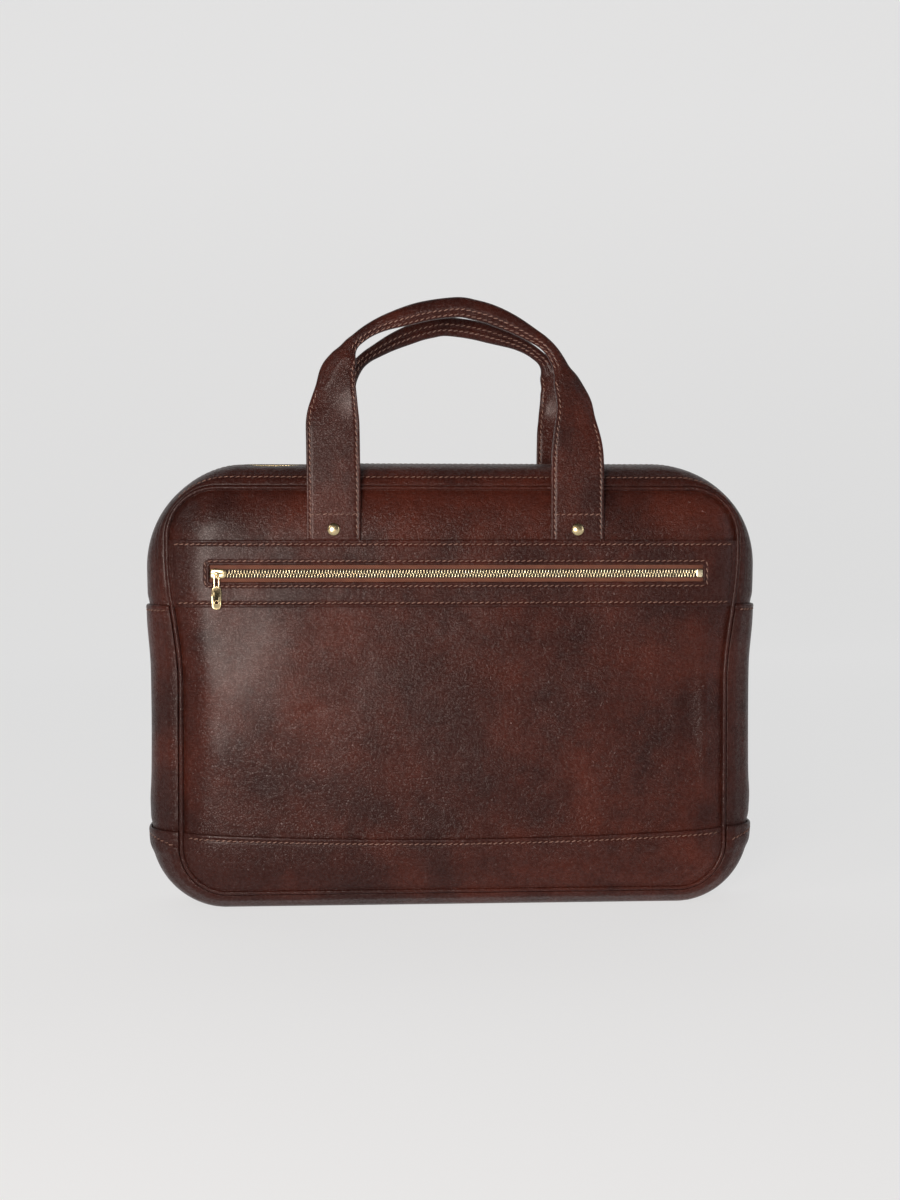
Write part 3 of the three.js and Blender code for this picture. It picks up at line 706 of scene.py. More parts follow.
def polished_brass(name, bright, tarnished, gloss):
    """Cast brass, tumbled bright: pale gold with fine soft scratches in its shine."""
    material, tree, shader, where = start_material(name)
    tarnish = span(tree, noise(tree, where, 3, 4), 0.45, 0.75, 0, 0.45)
    tree.links.new(blend_colours(tree, tarnish, bright, tarnished), shader.inputs["Base Color"])
    shader.inputs["Metallic"].default_value = 1
    rough = span(tree, noise(tree, where, 0.8, 3), 0.3, 0.7, gloss, gloss + 0.12)
    tree.links.new(rough, shader.inputs["Roughness"])
    bumps = node(
        tree,
        "ShaderNodeBump",
        Strength=0.08,
        Distance=0.05 * MM,
        Height=noise(tree, where, 0.6, 3),
    )
    tree.links.new(bumps.outputs["Normal"], shader.inputs["Normal"])
    return material


def woven_tape(name, gap_shade_height=None):
    """Twill-woven polyester tape: matt, with a fine ribbed weave of about 0.6 mm. Where a height
    is stated, a strip along it is darkened as painted shade for the gaps between the teeth."""
    colours = bpy.context.scene.case_colours
    material, tree, shader, where = start_material(name)
    weave = node(
        tree,
        "ShaderNodeTexWave",
        {"bands_direction": "DIAGONAL"},
        Vector=where,
        Scale=420,
        Distortion=0.6,
        Detail=1.0,
    ).outputs["Fac"]
    wear = noise(tree, where, 8, 3)
    tone = blend_colours(tree, span(tree, wear, 0.3, 0.7), colours.zip_tape, "#5e3120")
    shade = blend_colours(tree, span(tree, weave, 0, 1, 0, 0.6), tone, "#33190f")
    if gap_shade_height:
        # Painted shade: a dark strip along the line of the teeth, standing in for the shade in the
        # gaps between them.
        z = node(tree, "ShaderNodeSeparateXYZ", Vector=where).outputs["Z"]
        far = combine(tree, combine(tree, z, gap_shade_height, "SUBTRACT"), 0.0, "ABSOLUTE")
        painted_gap_shade = span(tree, far, 2.4 * MM, 3.4 * MM, 1, 0)
        shade = blend_colours(tree, painted_gap_shade, shade, "#1c0d08")
    tree.links.new(shade, shader.inputs["Base Color"])
    shader.inputs["Roughness"].default_value = 0.85
    shader.inputs["Sheen Weight"].default_value = 0.2
    bumps = node(tree, "ShaderNodeBump", Strength=0.5, Distance=0.15 * MM, Height=weave)
    tree.links.new(bumps.outputs["Normal"], shader.inputs["Normal"])
    return material


def waxed_thread(name):
    """Waxed polyester thread: twisted, slightly shiny, a shade lighter than the leather."""
    colours = bpy.context.scene.case_colours
    material, tree, shader, where = start_material(name)
    wear = noise(tree, where, 2, 2)
    tone = blend_colours(tree, span(tree, wear, 0.3, 0.7), colours.thread, "#563a30")
    tree.links.new(tone, shader.inputs["Base Color"])
    shader.inputs["Roughness"].default_value = 0.5
    return material


MATERIALS = {}


def material_for(key):
    """Each finish, made once."""
    colours = bpy.context.scene.case_colours
    makers = {
        "panel": lambda: waxed_leather("Mottled cowhide, panels", 0.62, 0.3),
        "band": lambda: waxed_leather("Mottled cowhide, bands", 0.35, 0.31),
        "gusset": lambda: waxed_leather("Mottled cowhide, gusset", 0.25, 0.32),
        "handle": lambda: waxed_leather("Mottled cowhide, handles", 0.3, 0.32),
        "piping": lambda: waxed_leather("Mottled cowhide, piping", 0.3, 0.28),
        "brass": lambda: polished_brass("Polished brass", colours.brass, "#bfa56d", 0.2),
        "casting": lambda: polished_brass("Cast brass", colours.casting, "#95825c", 0.18),
        "tape": lambda: woven_tape("Woven zip tape"),
        "front_tape": lambda: woven_tape("Woven zip tape with its cord", ZIP_Z * MM),
        "thread": lambda: waxed_thread("Waxed thread"),
    }
    if key not in MATERIALS:
        MATERIALS[key] = makers[key]()
    return MATERIALS[key]


def corner_rows(low, high, step):
    """Heights of a face's rows: even steps on the straight part, and even turns of the arc
    inside a corner, so that the corners stay round."""
    line = PIPING_LINE
    rise = line["bottom"] + EDGE - GAP
    fall = line["top"] - EDGE + GAP
    low_r, high_r = line["lower_radius"] - EDGE + GAP, line["upper_radius"] - EDGE + GAP
    rows = []
    turn = np.linspace(0, math.pi / 2, 28)
    if low <= rise:
        rows.append(rise + low_r * (1 - np.cos(turn))[:-1])
        low = rise + low_r
    straight_end = min(high, fall - high_r)
    rows.append(np.linspace(low, straight_end, max(int((straight_end - low) / step), 2)))
    if high >= fall:
        rows.append((fall - high_r + high_r * np.sin(turn))[1:])
    return np.concatenate(rows)


def row_half(z):
    """Half width of a face at a height, rounded off inside the corners."""
    line = PIPING_LINE
    inset = EDGE - GAP
    half = half_width(z, line) - inset
    for gap_z, radius in (
        (line["top"] - inset - z, line["upper_radius"] - inset),
        (z - line["bottom"] - inset, line["lower_radius"] - inset),
    ):
        short = np.clip(radius - gap_z, 0, radius)
        half = half - (radius - np.sqrt(np.maximum(radius**2 - short**2, 0)))
    return half


# About half a face's width, by which its columns are spaced.
FACE_HALF = 186.0


def face_grid(low, high, step, folds, seed):
    """A face between two heights: rows of level points, closer together beside the piping."""
    z = corner_rows(low, high, step)
    near = np.array([0, 0.5, 1.0, 1.6, 2.3, 3.1, 4.2, 5.6, 7.4, 9.6]) / FACE_HALF
    share = np.concatenate([near, np.linspace(12 / FACE_HALF, 1, int((FACE_HALF - 12) / step))])
    columns = np.concatenate([-(1 - share), (1 - share)[::-1][1:]])
    x = row_half(z)[:, None] * columns[None]
    z = z[:, None] + 0 * x
    return np.stack([x, -face_out(x, z, folds, seed), z], -1)


def front_normals(grid):
    """Normals of a face's grid, all turned to point to the front."""
    n = grid_normals(grid)
    return n * np.sign(-n[..., 1:2])


def make_face(name, low, high, folds, seed, back, *nodes):
    """A face between two heights. The back is made as a front and then turned half round."""
    grid = face_grid(low, high, 2.2, folds, seed)
    points, quads = hide_sheet(grid, HIDE, front_normals(grid))
    if back:
        points = points * np.array([-1, -1, 1])
    piece = new_object(name, points, quads, material_for("panel"))
    return place_piece(piece, "case", "leather", *nodes)


class CASE_OT_faces(bpy.types.Operator):
    """Builds the yoke, the pocket panel and the back"""

    bl_idname = "case.faces"
    bl_label = "Faces"

    def execute(self, context):
        top, bottom = PIPING_LINE["top"] + 1, PIPING_LINE["bottom"] - 1
        yoke_low = box_mm("front_yoke")[0][2]
        pocket_high = box_mm("front_pocket_panel")[1][2]
        make_face("yoke", yoke_low, top, FRONT_FOLDS, 3, False, "front_yoke")
        panel = ("pocket_panel", bottom, pocket_high, FRONT_FOLDS, 3, False)
        make_face(*panel, "front_pocket_panel")
        make_face("back", bottom, top, BACK_FOLDS, 11, True, "back_panel")
        return {"FINISHED"}


# Distances from a band's edge at which its surface has a row of points.
EDGE_ROWS = np.array([0, 0.3, 0.7, 1.2, 1.6, 2.0, 2.4, 2.8, 3.2, 3.8, 4.6])


def stitch_groove(distance, at, depth=0.42):
    """The pull of a stitch row: a groove in the leather, and a slight swell towards the edge."""
    return -depth * bump_at(distance, at, 0.75) + 0.18 * bump_at(distance, at - 1.6, 0.9)


def band_surface(x, z, rise):
    """Outer side of a band: the face below it, a gap and the band's own thickness."""
    return np.stack([x, -(face_out(x, z) + GAP + BAND_HIDE + rise), z], -1)


WINDOW_STITCH = 1.95
BAND_STITCH = 2.3
CHAIN_MIDDLE = (SLIDER_LOW[0] + STOP_HIGH[0]) / 2
WINDOW_HALF = (STOP_HIGH[0] - SLIDER_LOW[0]) / 2 + 1.2
WINDOW_HALF_HEIGHT = 6.25


def window_loop(grow, long_steps=230, short_steps=12, arc_steps=5):
    """The zip window's outline, drawn out by a distance: straight sides and round corners."""
    r = 1.5 + grow
    half_x, half_z = WINDOW_HALF + grow - r, WINDOW_HALF_HEIGHT + grow - r
    arc = np.linspace(0, math.pi / 2, arc_steps)
    sides = []
    for quarter, (cx, cz) in enumerate([(1, -1), (1, 1), (-1, 1), (-1, -1)]):
        turn = arc + (quarter - 1) * math.pi / 2
        sides.append(
            np.stack([cx * half_x + r * np.cos(turn), cz * half_z + r * np.sin(turn)], -1)
        )
        last = sides[-1][-1]
        steps = short_steps if quarter % 2 == 0 else long_steps
        nx, nz = [(1, 1), (-1, 1), (-1, -1), (1, -1)][quarter]
        start_turn = quarter * math.pi / 2
        nxt = np.array(
            [nx * half_x + r * math.cos(start_turn), nz * half_z + r * math.sin(start_turn)]
        )
        share = np.linspace(0, 1, steps + 1)[1:-1, None]
        sides.append(last + (nxt - last) * share)
    loop = np.concatenate(sides)
    return loop[:, 0] + CHAIN_MIDDLE, loop[:, 1] + ZIP_Z


def band_loop(inset):
    """The band's outline matched point by point to the window's: each point of the window is
    carried out to the band's edge, and the corners go to the corners."""
    x, z = window_loop(0)
    u = np.clip((x - CHAIN_MIDDLE) / (WINDOW_HALF - 0.4), -1, 1)
    v = np.clip((z - ZIP_Z) / (WINDOW_HALF_HEIGHT - 0.4), -1, 1)
    middle = (BAND_LOW[2] + BAND_HIGH[2]) / 2
    out_z = middle + v * ((BAND_HIGH[2] - BAND_LOW[2]) / 2 - inset)
    out_x = u * (row_half(out_z) - inset)
    return out_x, out_z


def zip_band_grid():
    """The zip band as rings of points from its window out to its edges."""
    rings = [window_loop(d) + (stitch_groove(d, WINDOW_STITCH, 0.35),) for d in EDGE_ROWS]
    last_x, last_z = window_loop(EDGE_ROWS[-1])
    outer = [band_loop(d) + (stitch_groove(d, BAND_STITCH),) for d in EDGE_ROWS[::-1]]
    for share in (0.25, 0.5, 0.75):
        x = last_x + (outer[0][0] - last_x) * share
        z = last_z + (outer[0][1] - last_z) * share
        rings.append((x, z, 0.0))
    rings += outer
    columns = [band_surface(x, z, rise + 0 * x) for x, z, rise in rings]
    return np.stack(columns, 1)


def foot_band_edge(x):
    """Height of the foot band's upper edge: an even curve, highest at both ends."""
    share = x / PIPING_LINE["lower"]
    return FOOT_HIGH[2] - 5.0 * (1 - share**2) + 0 * x


# Height that the foot band's level rows stay well under, height at which its edge meets the
# piping, half width by which its columns are spaced, and its stitches' distance from the edge.
FOOT_ROWS_TOP = 44.0
FOOT_EDGE_Z = 50.0
FOOT_HALF = 182.0
FOOT_STITCH = BAND_STITCH + 0.3
LEVEL_SHARE = 0.8 / 0.88


def facing(points):
    """Normals that point straight to the front, one for each point of a path or a grid."""
    return np.array([0.0, -1.0, 0.0]) + 0 * points


def foot_band_grid():
    """The foot band as columns of points: level rows from the piping up, then rows that follow
    the curve of its upper edge."""
    z_rows = corner_rows(FOOT_LOW[2] - 3, FOOT_ROWS_TOP, 2.0)
    z_rows = z_rows[z_rows - z_rows[0] < (FOOT_ROWS_TOP - z_rows[0]) * LEVEL_SHARE]
    near = np.array([0, 0.6, 1.3, 2.2, 3.4, 5, 7, 9.6]) / FOOT_HALF
    inner = np.concatenate([near, np.linspace(13 / FOOT_HALF, 1, 80)])
    columns = np.concatenate([-(1 - inner), (1 - inner)[::-1][1:]])[:, None]
    edge_x = columns * row_half(FOOT_EDGE_Z) + 0 * EDGE_ROWS[None]
    edge_z = foot_band_edge(edge_x) - EDGE_ROWS[::-1][None]
    x = np.concatenate([columns * row_half(z_rows)[None], edge_x], 1)
    z = np.concatenate([z_rows[None] + 0 * columns, edge_z], 1)
    return band_surface(x, z, stitch_groove(foot_band_edge(x) - z, FOOT_STITCH))


class CASE_OT_bands(bpy.types.Operator):
    """Builds the zip band round its window and the band along the foot"""

    bl_idname = "case.bands"
    bl_label = "Bands"

    def execute(self, context):
        grid = zip_band_grid()
        points, quads = hide_sheet(grid, BAND_HIDE, facing(grid), loop=True)
        piece = new_object("zip_band_leather", points, quads, material_for("band"))
        place_piece(piece, "case", "leather", "zip_band")
        grid = foot_band_grid()
        points, quads = hide_sheet(grid, BAND_HIDE, facing(grid))
        piece = new_object("foot_band_leather", points, quads, material_for("band"))
        place_piece(piece, "case", "leather", "foot_band")
        return {"FINISHED"}


def loop_stations(step=1.6):
    """Stations once round the outline at about even steps, from the middle of the base."""
    fine = np.linspace(0, 5, 2001)
    x, z = outline(fine, PIPING_LINE)
    lengths = np.concatenate([[0], np.cumsum(np.hypot(np.diff(x), np.diff(z)))])
    count = int(lengths[-1] / step)
    half = np.interp(np.linspace(0, lengths[-1], count), lengths, fine)
    return np.concatenate([half, -half[::-1][1:-1]])


class CASE_OT_piping(bpy.types.Operator):
    """Builds the two piping beads"""

    bl_idname = "case.piping"
    bl_label = "Piping"

    def execute(self, context):
        stations = loop_stations()
        x, z = outline(stations, PIPING_LINE)
        line = np.stack([x, 0 * x, z], -1)
        along = np.roll(line, -1, 0) - np.roll(line, 1, 0)
        along /= np.linalg.norm(along, axis=-1, keepdims=True)
        away = np.array([0.0, 1.0, 0.0]) + 0 * along
        out = np.cross(along, away)
        rng = np.random.default_rng(5)
        steps = len(stations)
        uneven = np.convolve(rng.normal(0, 0.25, steps), np.ones(9) / 9, mode="same")
        radii = (BEAD_RADIUS + uneven * 0.6)[:, None] + np.zeros((1, 14))
        for side, name in ((-1, "front"), (1, "back")):
            path = line + np.array([0, side * SEAM_Y, 0])
            ring, quads = tube(path, out, away, radii, loop=True)
            piece = new_object(
                f"{name}_piping_bead", ring.reshape(-1, 3), quads, material_for("piping")
            )
            place_piece(piece, "case", "leather", f"{name}_piping")
        return {"FINISHED"}


def seam_lift_top(z, station):
    """Depth of the top strips near the side seams, where they tuck under the side gussets."""
    low = np.abs(station) < 3.5
    return np.where(low, SEAM_SINK * (1 - smooth(UPPER_SEAM + 1, UPPER_SEAM + LAP, z)), 0)


def seam_lift_side(z):
    """Depth of the side gussets: raised at the upper edge and tucked in at the lower end."""
    raised = smooth(UPPER_SEAM - 5 * LAP, UPPER_SEAM - LAP, z) * SEAM_RAISE
    tucked = (1 - smooth(LOWER_SEAM + 1, LOWER_SEAM + LAP, z)) * SEAM_SINK
    return tucked - raised


def seam_lift_base(z):
    """Depth of the base piece: raised where it laps over the side gussets."""
    return -smooth(LOWER_SEAM - 2.2 * LAP, LOWER_SEAM - 1.2 * LAP, z) * SEAM_RAISE


PLACES = np.sin(np.linspace(-1, 1, 61) * math.pi / 2)


def over_the_top(half):
    """Stations of the right half and then, past the middle of the top, of the left half."""
    return np.concatenate([half, -half[::-1][1:]])


def gusset_grid(stations, places, lift, deep=0.0):
    """Outer side of a piece of gusset over stations and places. It lies as deep as its lap's
    lift and a depth of its own say."""
    stations, places = np.broadcast_arrays(stations[:, None], places[None, :])
    _, z = outline(stations, WIDEST_LINE)
    return gusset_point(stations, places, lift(z, stations) + deep)


def side_stations(low_z, high_z, step, seam_rows):
    """Stations up the side between two heights, with close rows by the stated seam edges."""
    even = np.linspace(low_z, high_z, int((high_z - low_z) / step))
    fine = np.linspace(0.5, 3.6, 3001)
    _, z = outline(fine, WIDEST_LINE)
    rows = np.unique(np.concatenate([even] + seam_rows))
    rows = rows[(rows >= low_z - 1e-6) & (rows <= high_z + 1e-6)]
    return np.interp(rows, z, fine)


class CASE_OT_gusset(bpy.types.Operator):
    """Builds the top strips, the side gussets and the base piece"""

    bl_idname = "case.gusset"
    bl_label = "Gusset"

    def execute(self, context):
        start = side_stations(UPPER_SEAM - LAP + 0.2, UPPER_SEAM + 30, 2.0, [])
        over = np.interp(np.linspace(0, 1, 150)[1:], [0, 1], [start[-1], 5.0])
        half = np.concatenate([start, over])
        stations = over_the_top(half)
        edge = np.array([0, 0.004, 0.01, 0.02, 0.035, 0.05])
        inner = np.linspace(ZIP_PLACE + 0.07, 0.9, 20)
        outer = np.array([0.92, 0.94, 0.955, 0.97, 0.98, 0.99, 0.996, 1.0])
        places = np.concatenate([ZIP_PLACE + edge, inner, outer])
        for side, name in ((-1, "front"), (1, "back")):
            across = side * places
            grid = gusset_grid(stations, across, seam_lift_top)
            relief = -0.3 * bump_at(places, 0.93, 0.018) - 0.3 * bump_at(places, 0.27, 0.02)
            n = outward(grid_normals(grid), grid)
            points, quads = hide_sheet(grid + n * relief[None, :, None], HIDE, n)
            piece = new_object(f"top_strip_{name}", points, quads, material_for("gusset"))
            place_piece(piece, "case", "leather", f"top_gusset_{name}")
        self.sides()
        self.base()
        return {"FINISHED"}

    def sides(self):
        """The side gussets, each with a stitch groove along its upper edge."""
        rows = [UPPER_SEAM - EDGE_ROWS]
        stations = side_stations(LOWER_SEAM - LAP + 0.2, UPPER_SEAM, 2.2, rows)
        for side, name in ((-1, "left"), (1, "right")):
            grid = gusset_grid(side * stations, PLACES, lambda z, s: seam_lift_side(z))
            _, z = outline(stations, WIDEST_LINE)
            relief = stitch_groove(UPPER_SEAM - z, 2.5)
            grid = np.swapaxes(grid, 0, 1)
            n = outward(grid_normals(grid), grid)
            points, quads = hide_sheet(grid + n * relief[None, :, None], HIDE, n)
            piece = new_object(f"side_{name}", points, quads, material_for("gusset"))
            place_piece(piece, "case", "leather", f"side_gusset_{name}")

    def base(self):
        """The base piece, which wraps both lower corners and lies flat on the floor."""
        rows = [LOWER_SEAM - EDGE_ROWS]
        up = side_stations(16.0, LOWER_SEAM, 1.6, rows)
        half = np.concatenate([np.linspace(0, up[0], 60)[:-1], up])
        stations = np.concatenate([-half[::-1], half[1:]])
        grid = gusset_grid(stations, PLACES, lambda z, s: seam_lift_base(z))
        _, z = outline(stations, WIDEST_LINE)
        relief = stitch_groove(LOWER_SEAM - z, 2.5)
        grid = np.swapaxes(grid, 0, 1)
        n = outward(grid_normals(grid), grid)
        grid = grid + n * relief[None, :, None]
        grid[..., 2] = np.maximum(grid[..., 2], 0)
        points, quads = hide_sheet(grid, HIDE, n)
        points[:, 2] = np.maximum(points[:, 2], 0)
        piece = new_object("base", points, quads, material_for("gusset"))
        place_piece(piece, "case", "leather", "base_gusset")


def outward(n, grid):
    """Turns normals of the gusset so that they point away from the middle of the case."""
    middle = np.array([0.0, 0.0, 150.0])
    return n * np.sign(np.sum(n * (grid - middle), -1, keepdims=True))


# A tooth's leg and its head: how far each sits from the chain's middle, and its half sizes along
# the chain, out from the tape and across the tape.
TOOTH_PARTS = ((1.6, [0.36, 0.75, 1.1]), (0.5, [0.44, 0.65, 0.6]))
TOOTH_LEAN = math.radians(14)


def chain_teeth(path, normals):
    """Two rows of interlocking teeth along a path, set half a pitch apart. Each tooth is a narrow
    leg that leans a little, with a wider head where the two rows meet."""
    pitch = bpy.context.scene.case_sizes.tooth_pitch / MM
    template = rounded_block(5, 8, 0.4)
    parts = []
    for row in (-1, 1):
        centre, along, n = along_path(path, normals, pitch, 0.5 + row * 0.25)
        side = np.cross(n, along) * row
        leg = side * math.cos(TOOTH_LEAN) + along * (row * math.sin(TOOTH_LEAN))
        width = np.cross(leg, n)
        axes = np.stack([width, n, leg], 1)
        for shift, half in TOOTH_PARTS:
            sizes = np.tile(half, (len(centre), 1))
            parts.append(copies(template, centre + side * shift, axes, sizes))
    return join_parts(parts)


def front_line(x, z, stand):
    """Points that stand in front of the face by a distance."""
    x, z = np.broadcast_arrays(np.asarray(x, float), np.asarray(z, float))
    return np.stack([x, -(face_out(x, z) + stand), z], -1)


TAPE_THICKNESS = 0.8
PLATE_HALF_THICKNESS = 1.0
PLATE_TAPER = 0.16
BRIDGE_REACH = 3.6
BRIDGE_FOOT = 1.4
BRIDGE_WIRE = 0.55
BRIDGE_SINK_TURN = 0.15


class CASE_OT_front_zip(bpy.types.Operator):
    """Builds the front zip's tape, teeth, end stop and slider"""

    bl_idname = "case.front_zip"
    bl_label = "Front zip"

    def execute(self, context):
        self.tape()
        x = np.linspace(CHAIN_LOW[0], CHAIN_HIGH[0], 400)
        path = front_line(x, ZIP_Z, GAP + 0.8)
        points, quads, triangles = chain_teeth(path, facing(path))
        brass = material_for("brass")
        piece = new_object("front_teeth", points, quads, brass, triangles)
        place_piece(piece, "case", "brass", "front_zip_teeth")
        middle = (STOP_LOW + STOP_HIGH) / 2
        half = (STOP_HIGH - STOP_LOW) / 2
        p, q, t = rounded_block(8, 16, 0.3)
        points = p[:, [0, 2, 1]] * half + middle
        piece = new_object("end_stop", points, q, brass, t)
        place_piece(piece, "case", "brass", "front_zip_end_stop")
        self.slider()
        return {"FINISHED"}

    def tape(self):
        """The tape in two halves, one on each side of the line where the teeth meet."""
        low, high = box_mm("front_zip_tape")
        x = np.linspace(-0.985, 0.985, 190)[:, None]
        parts = []
        for a, b in ((low[2], ZIP_Z - 0.12), (ZIP_Z + 0.12, high[2])):
            z = np.linspace(a, b, 14)[None, :]
            across = x * row_half(z)
            grid = front_line(across, z + 0 * across, -0.1 + 0 * across)
            points, quads = hide_sheet(grid, TAPE_THICKNESS, facing(grid))
            parts.append((points, quads, NO_TRIANGLES))
        points, quads, triangles = join_parts(parts)
        piece = new_object("front_tape", points, quads, material_for("front_tape"), triangles)
        place_piece(piece, "case", "zip_tape", "front_zip_tape")

    def slider(self):
        """A domed shield that tapers to the right, and a wire bridge over it on which the pull
        hangs: its rise is the square root of a half turn's sine."""
        low, high = SLIDER_LOW, SLIDER_HIGH
        centre = (low + high) / 2
        half = (high - low) / 2
        back = -high[1]
        p, q, t = rounded_block(14, 32, 0.55)
        body = p[:, [0, 2, 1]] * np.array([half[0], PLATE_HALF_THICKNESS, half[2]])
        body[:, 2] *= 1 - PLATE_TAPER * (body[:, 0] / half[0] + 1) / 2
        body = body + np.array([centre[0], -(back + PLATE_HALF_THICKNESS), centre[2]])
        pull_x = (PULL_LOW[0] + PULL_HIGH[0]) / 2
        turn = np.linspace(-BRIDGE_SINK_TURN, math.pi + BRIDGE_SINK_TURN, 40)
        foot = back + BRIDGE_FOOT
        rise = -low[1] - BRIDGE_WIRE - foot
        arch = np.abs(np.sin(turn)) ** 0.5 * np.sign(np.sin(turn))
        x = pull_x + BRIDGE_REACH * np.cos(turn)
        path = np.stack([x, -(foot + rise * arch), centre[2] + 0 * turn], -1)
        along = np.gradient(path, axis=0)
        along /= np.linalg.norm(along, axis=-1, keepdims=True)
        side = np.array([0.0, 0.0, 1.0]) + 0 * along
        out = np.cross(along, side)
        ring, quads = tube(path, out, side, np.full((len(path), 12), BRIDGE_WIRE))
        bridge = closed_ends(ring, quads)
        points, quads, triangles = join_parts([(body, q, t), bridge])
        piece = new_object("front_slider", points, quads, material_for("casting"), triangles)
        place_piece(piece, "case", "brass", "front_zip_slider")


def plate_ring(outer, hole, thickness, edge):
    """A plate with a hole: a closed section carried round from the hole's edge over the front
    to the outer edge and back, with rounded edges. Both outlines have as many points."""
    half = thickness / 2
    turns = np.linspace(0, math.pi / 2, 4)
    rows = []

    def corner(line, inwards, front):
        direction = inwards / np.linalg.norm(inwards, axis=-1, keepdims=True)
        order = turns if front else turns[::-1]
        for a in order:
            sink = edge * (1 - math.cos(a))
            shift = direction * edge * (1 - math.sin(a))
            y = (half - sink) * (-1 if front else 1)
            flat = line + shift
            rows.append(np.stack([flat[:, 0], np.full(len(flat), y), flat[:, 1]], -1))

    across = hole - outer
    corner(outer, across, True)
    corner(outer, across, False)
    corner(hole, -across, False)
    corner(hole, -across, True)
    ring = np.stack(rows, 1)
    return ring.reshape(-1, 3), grid_quads(len(outer), ring.shape[1], True, True), NO_TRIANGLES


def rounded_outline(centre, half, count=64):
    """Outline of a rounded oblong, its points at even turns round its middle: the cosine and the
    sine of each turn are drawn out to their square roots."""
    turn = np.linspace(0, 2 * math.pi, count, endpoint=False)
    c, s = np.cos(turn), np.sin(turn)
    power = 0.5
    x = half[0] * np.sign(c) * np.abs(c) ** power
    z = half[1] * np.sign(s) * np.abs(s) ** power
    return np.stack([x + centre[0], z + centre[1]], -1)


# The pull's neck and its slot, its tab and the tab's hole, both plates and the eye's wire.
NECK_LENGTH = 8.8
NECK_HALF_WIDTH = 1.9
NECK_START = 0.2
NECK_LAP = 0.6
SLOT_HALF_WIDTH = 0.9
SLOT_END = 1.4
SLOT_DROP = 0.3
TAB_HALF_WIDTH = 3.15
TAB_LAP = 0.8
HOLE_RADIUS = 0.95
HOLE_HEIGHT = 4.6
TAB_THICKNESS, TAB_EDGE = 1.3, 0.45
NECK_THICKNESS, NECK_EDGE = 1.1, 0.35
EYE_WIRE = 0.32
EYE_WIDENING = 5.2


class CASE_OT_zip_pull(bpy.types.Operator):
    """Builds the pull that hangs on the front slider's bridge"""

    bl_idname = "case.zip_pull"
    bl_label = "Zip pull"

    def execute(self, context):
        x = (PULL_LOW[0] + PULL_HIGH[0]) / 2
        eye_radius = (PULL_HIGH[1] - PULL_LOW[1]) / 2
        y = (PULL_HIGH[1] + PULL_LOW[1]) / 2
        top = PULL_HIGH[2] - eye_radius
        neck_low = top - NECK_LENGTH
        tab_low, tab_top = PULL_LOW[2], neck_low + TAB_LAP
        tab_half = (TAB_HALF_WIDTH, (tab_top - tab_low) / 2)
        tab = rounded_outline((x, (tab_top + tab_low) / 2), tab_half)
        turn = np.linspace(0, 2 * math.pi, 64, endpoint=False)
        hole_x = x + HOLE_RADIUS * np.cos(turn)
        hole = np.stack([hole_x, tab_low + HOLE_HEIGHT + HOLE_RADIUS * np.sin(turn)], -1)
        neck_middle = (top - NECK_START + neck_low - NECK_LAP) / 2
        neck_half = (top - NECK_START - neck_low + NECK_LAP) / 2
        neck = rounded_outline((x, neck_middle), (NECK_HALF_WIDTH, neck_half))
        slot_half = (SLOT_HALF_WIDTH, neck_half - SLOT_END)
        slot = rounded_outline((x, neck_middle - SLOT_DROP), slot_half)
        parts = [
            plate_ring(tab, hole, TAB_THICKNESS, TAB_EDGE),
            plate_ring(neck, slot, NECK_THICKNESS, NECK_EDGE),
        ]
        turn = np.linspace(0, 2 * math.pi, 28, endpoint=False)
        middle = eye_radius - EYE_WIRE
        path = np.stack([0 * turn, middle * np.cos(turn), middle * np.sin(turn)], -1)
        out = path / middle
        side = np.array([1.0, 0.0, 0.0]) + 0 * path
        radii = np.full((len(path), 10), EYE_WIRE)
        ring, quads = tube(path, out, side * EYE_WIDENING, radii, loop=True)
        parts.append((ring.reshape(-1, 3) + [x, 0, top], quads, NO_TRIANGLES))
        points, quads, triangles = join_parts(parts)
        points = points + np.array([0, y, 0])
        piece = new_object("pull", points, quads, material_for("casting"), triangles)
        place_piece(piece, "zip_pull", "brass", "front_zip_pull")
        return {"FINISHED"}


class CASE_OT_top_zip(bpy.types.Operator):
    """Builds the main zip's tape, teeth and slider"""

    bl_idname = "case.top_zip"
    bl_label = "Main zip"

    def execute(self, context):
        low = side_stations(UPPER_SEAM - LAP + 0.2, UPPER_SEAM + 30, 3.0, [])
        over = np.linspace(low[-1], 5.0, 120)[1:]
        half = np.concatenate([low, over])
        stations = over_the_top(half)
        edge = 0.34
        parts = []
        for a, b in ((-edge, -0.004), (0.004, edge)):
            places = np.linspace(a, b, 8)
            grid = gusset_grid(stations, places, seam_lift_top, deep=HIDE + GAP)
            n = outward(grid_normals(grid), grid)
            points, quads = hide_sheet(grid, TAPE_THICKNESS, n)
            parts.append((points, quads, NO_TRIANGLES))
        points, quads, triangles = join_parts(parts)
        piece = new_object("top_tape", points, quads, material_for("tape"), triangles)
        place_piece(piece, "case", "zip_tape", "top_zip_tape")
        chain_start = side_stations(TOP_SLIDER_HIGH[2], UPPER_SEAM + 30, 3.0, [])
        half = np.concatenate([chain_start, over])
        stations = np.concatenate([half, -np.concatenate([low, over])[::-1][1:]])
        grid = gusset_grid(stations, np.array([-0.02, 0.0, 0.02]), seam_lift_top, deep=1.3)
        n = outward(grid_normals(grid), grid)
        points, quads, triangles = chain_teeth(grid[:, 1], n[:, 1])
        piece = new_object("top_teeth", points, quads, material_for("brass"), triangles)
        place_piece(piece, "case", "brass", "top_zip_teeth")
        p, q, t = rounded_block(10, 24, 0.5)
        half = (TOP_SLIDER_HIGH - TOP_SLIDER_LOW) / 2
        points = p[:, [1, 0, 2]] * half + (TOP_SLIDER_HIGH + TOP_SLIDER_LOW) / 2
        piece = new_object("top_slider", points, q, material_for("casting"), t)
        place_piece(piece, "case", "brass", "top_zip_slider")
        return {"FINISHED"}


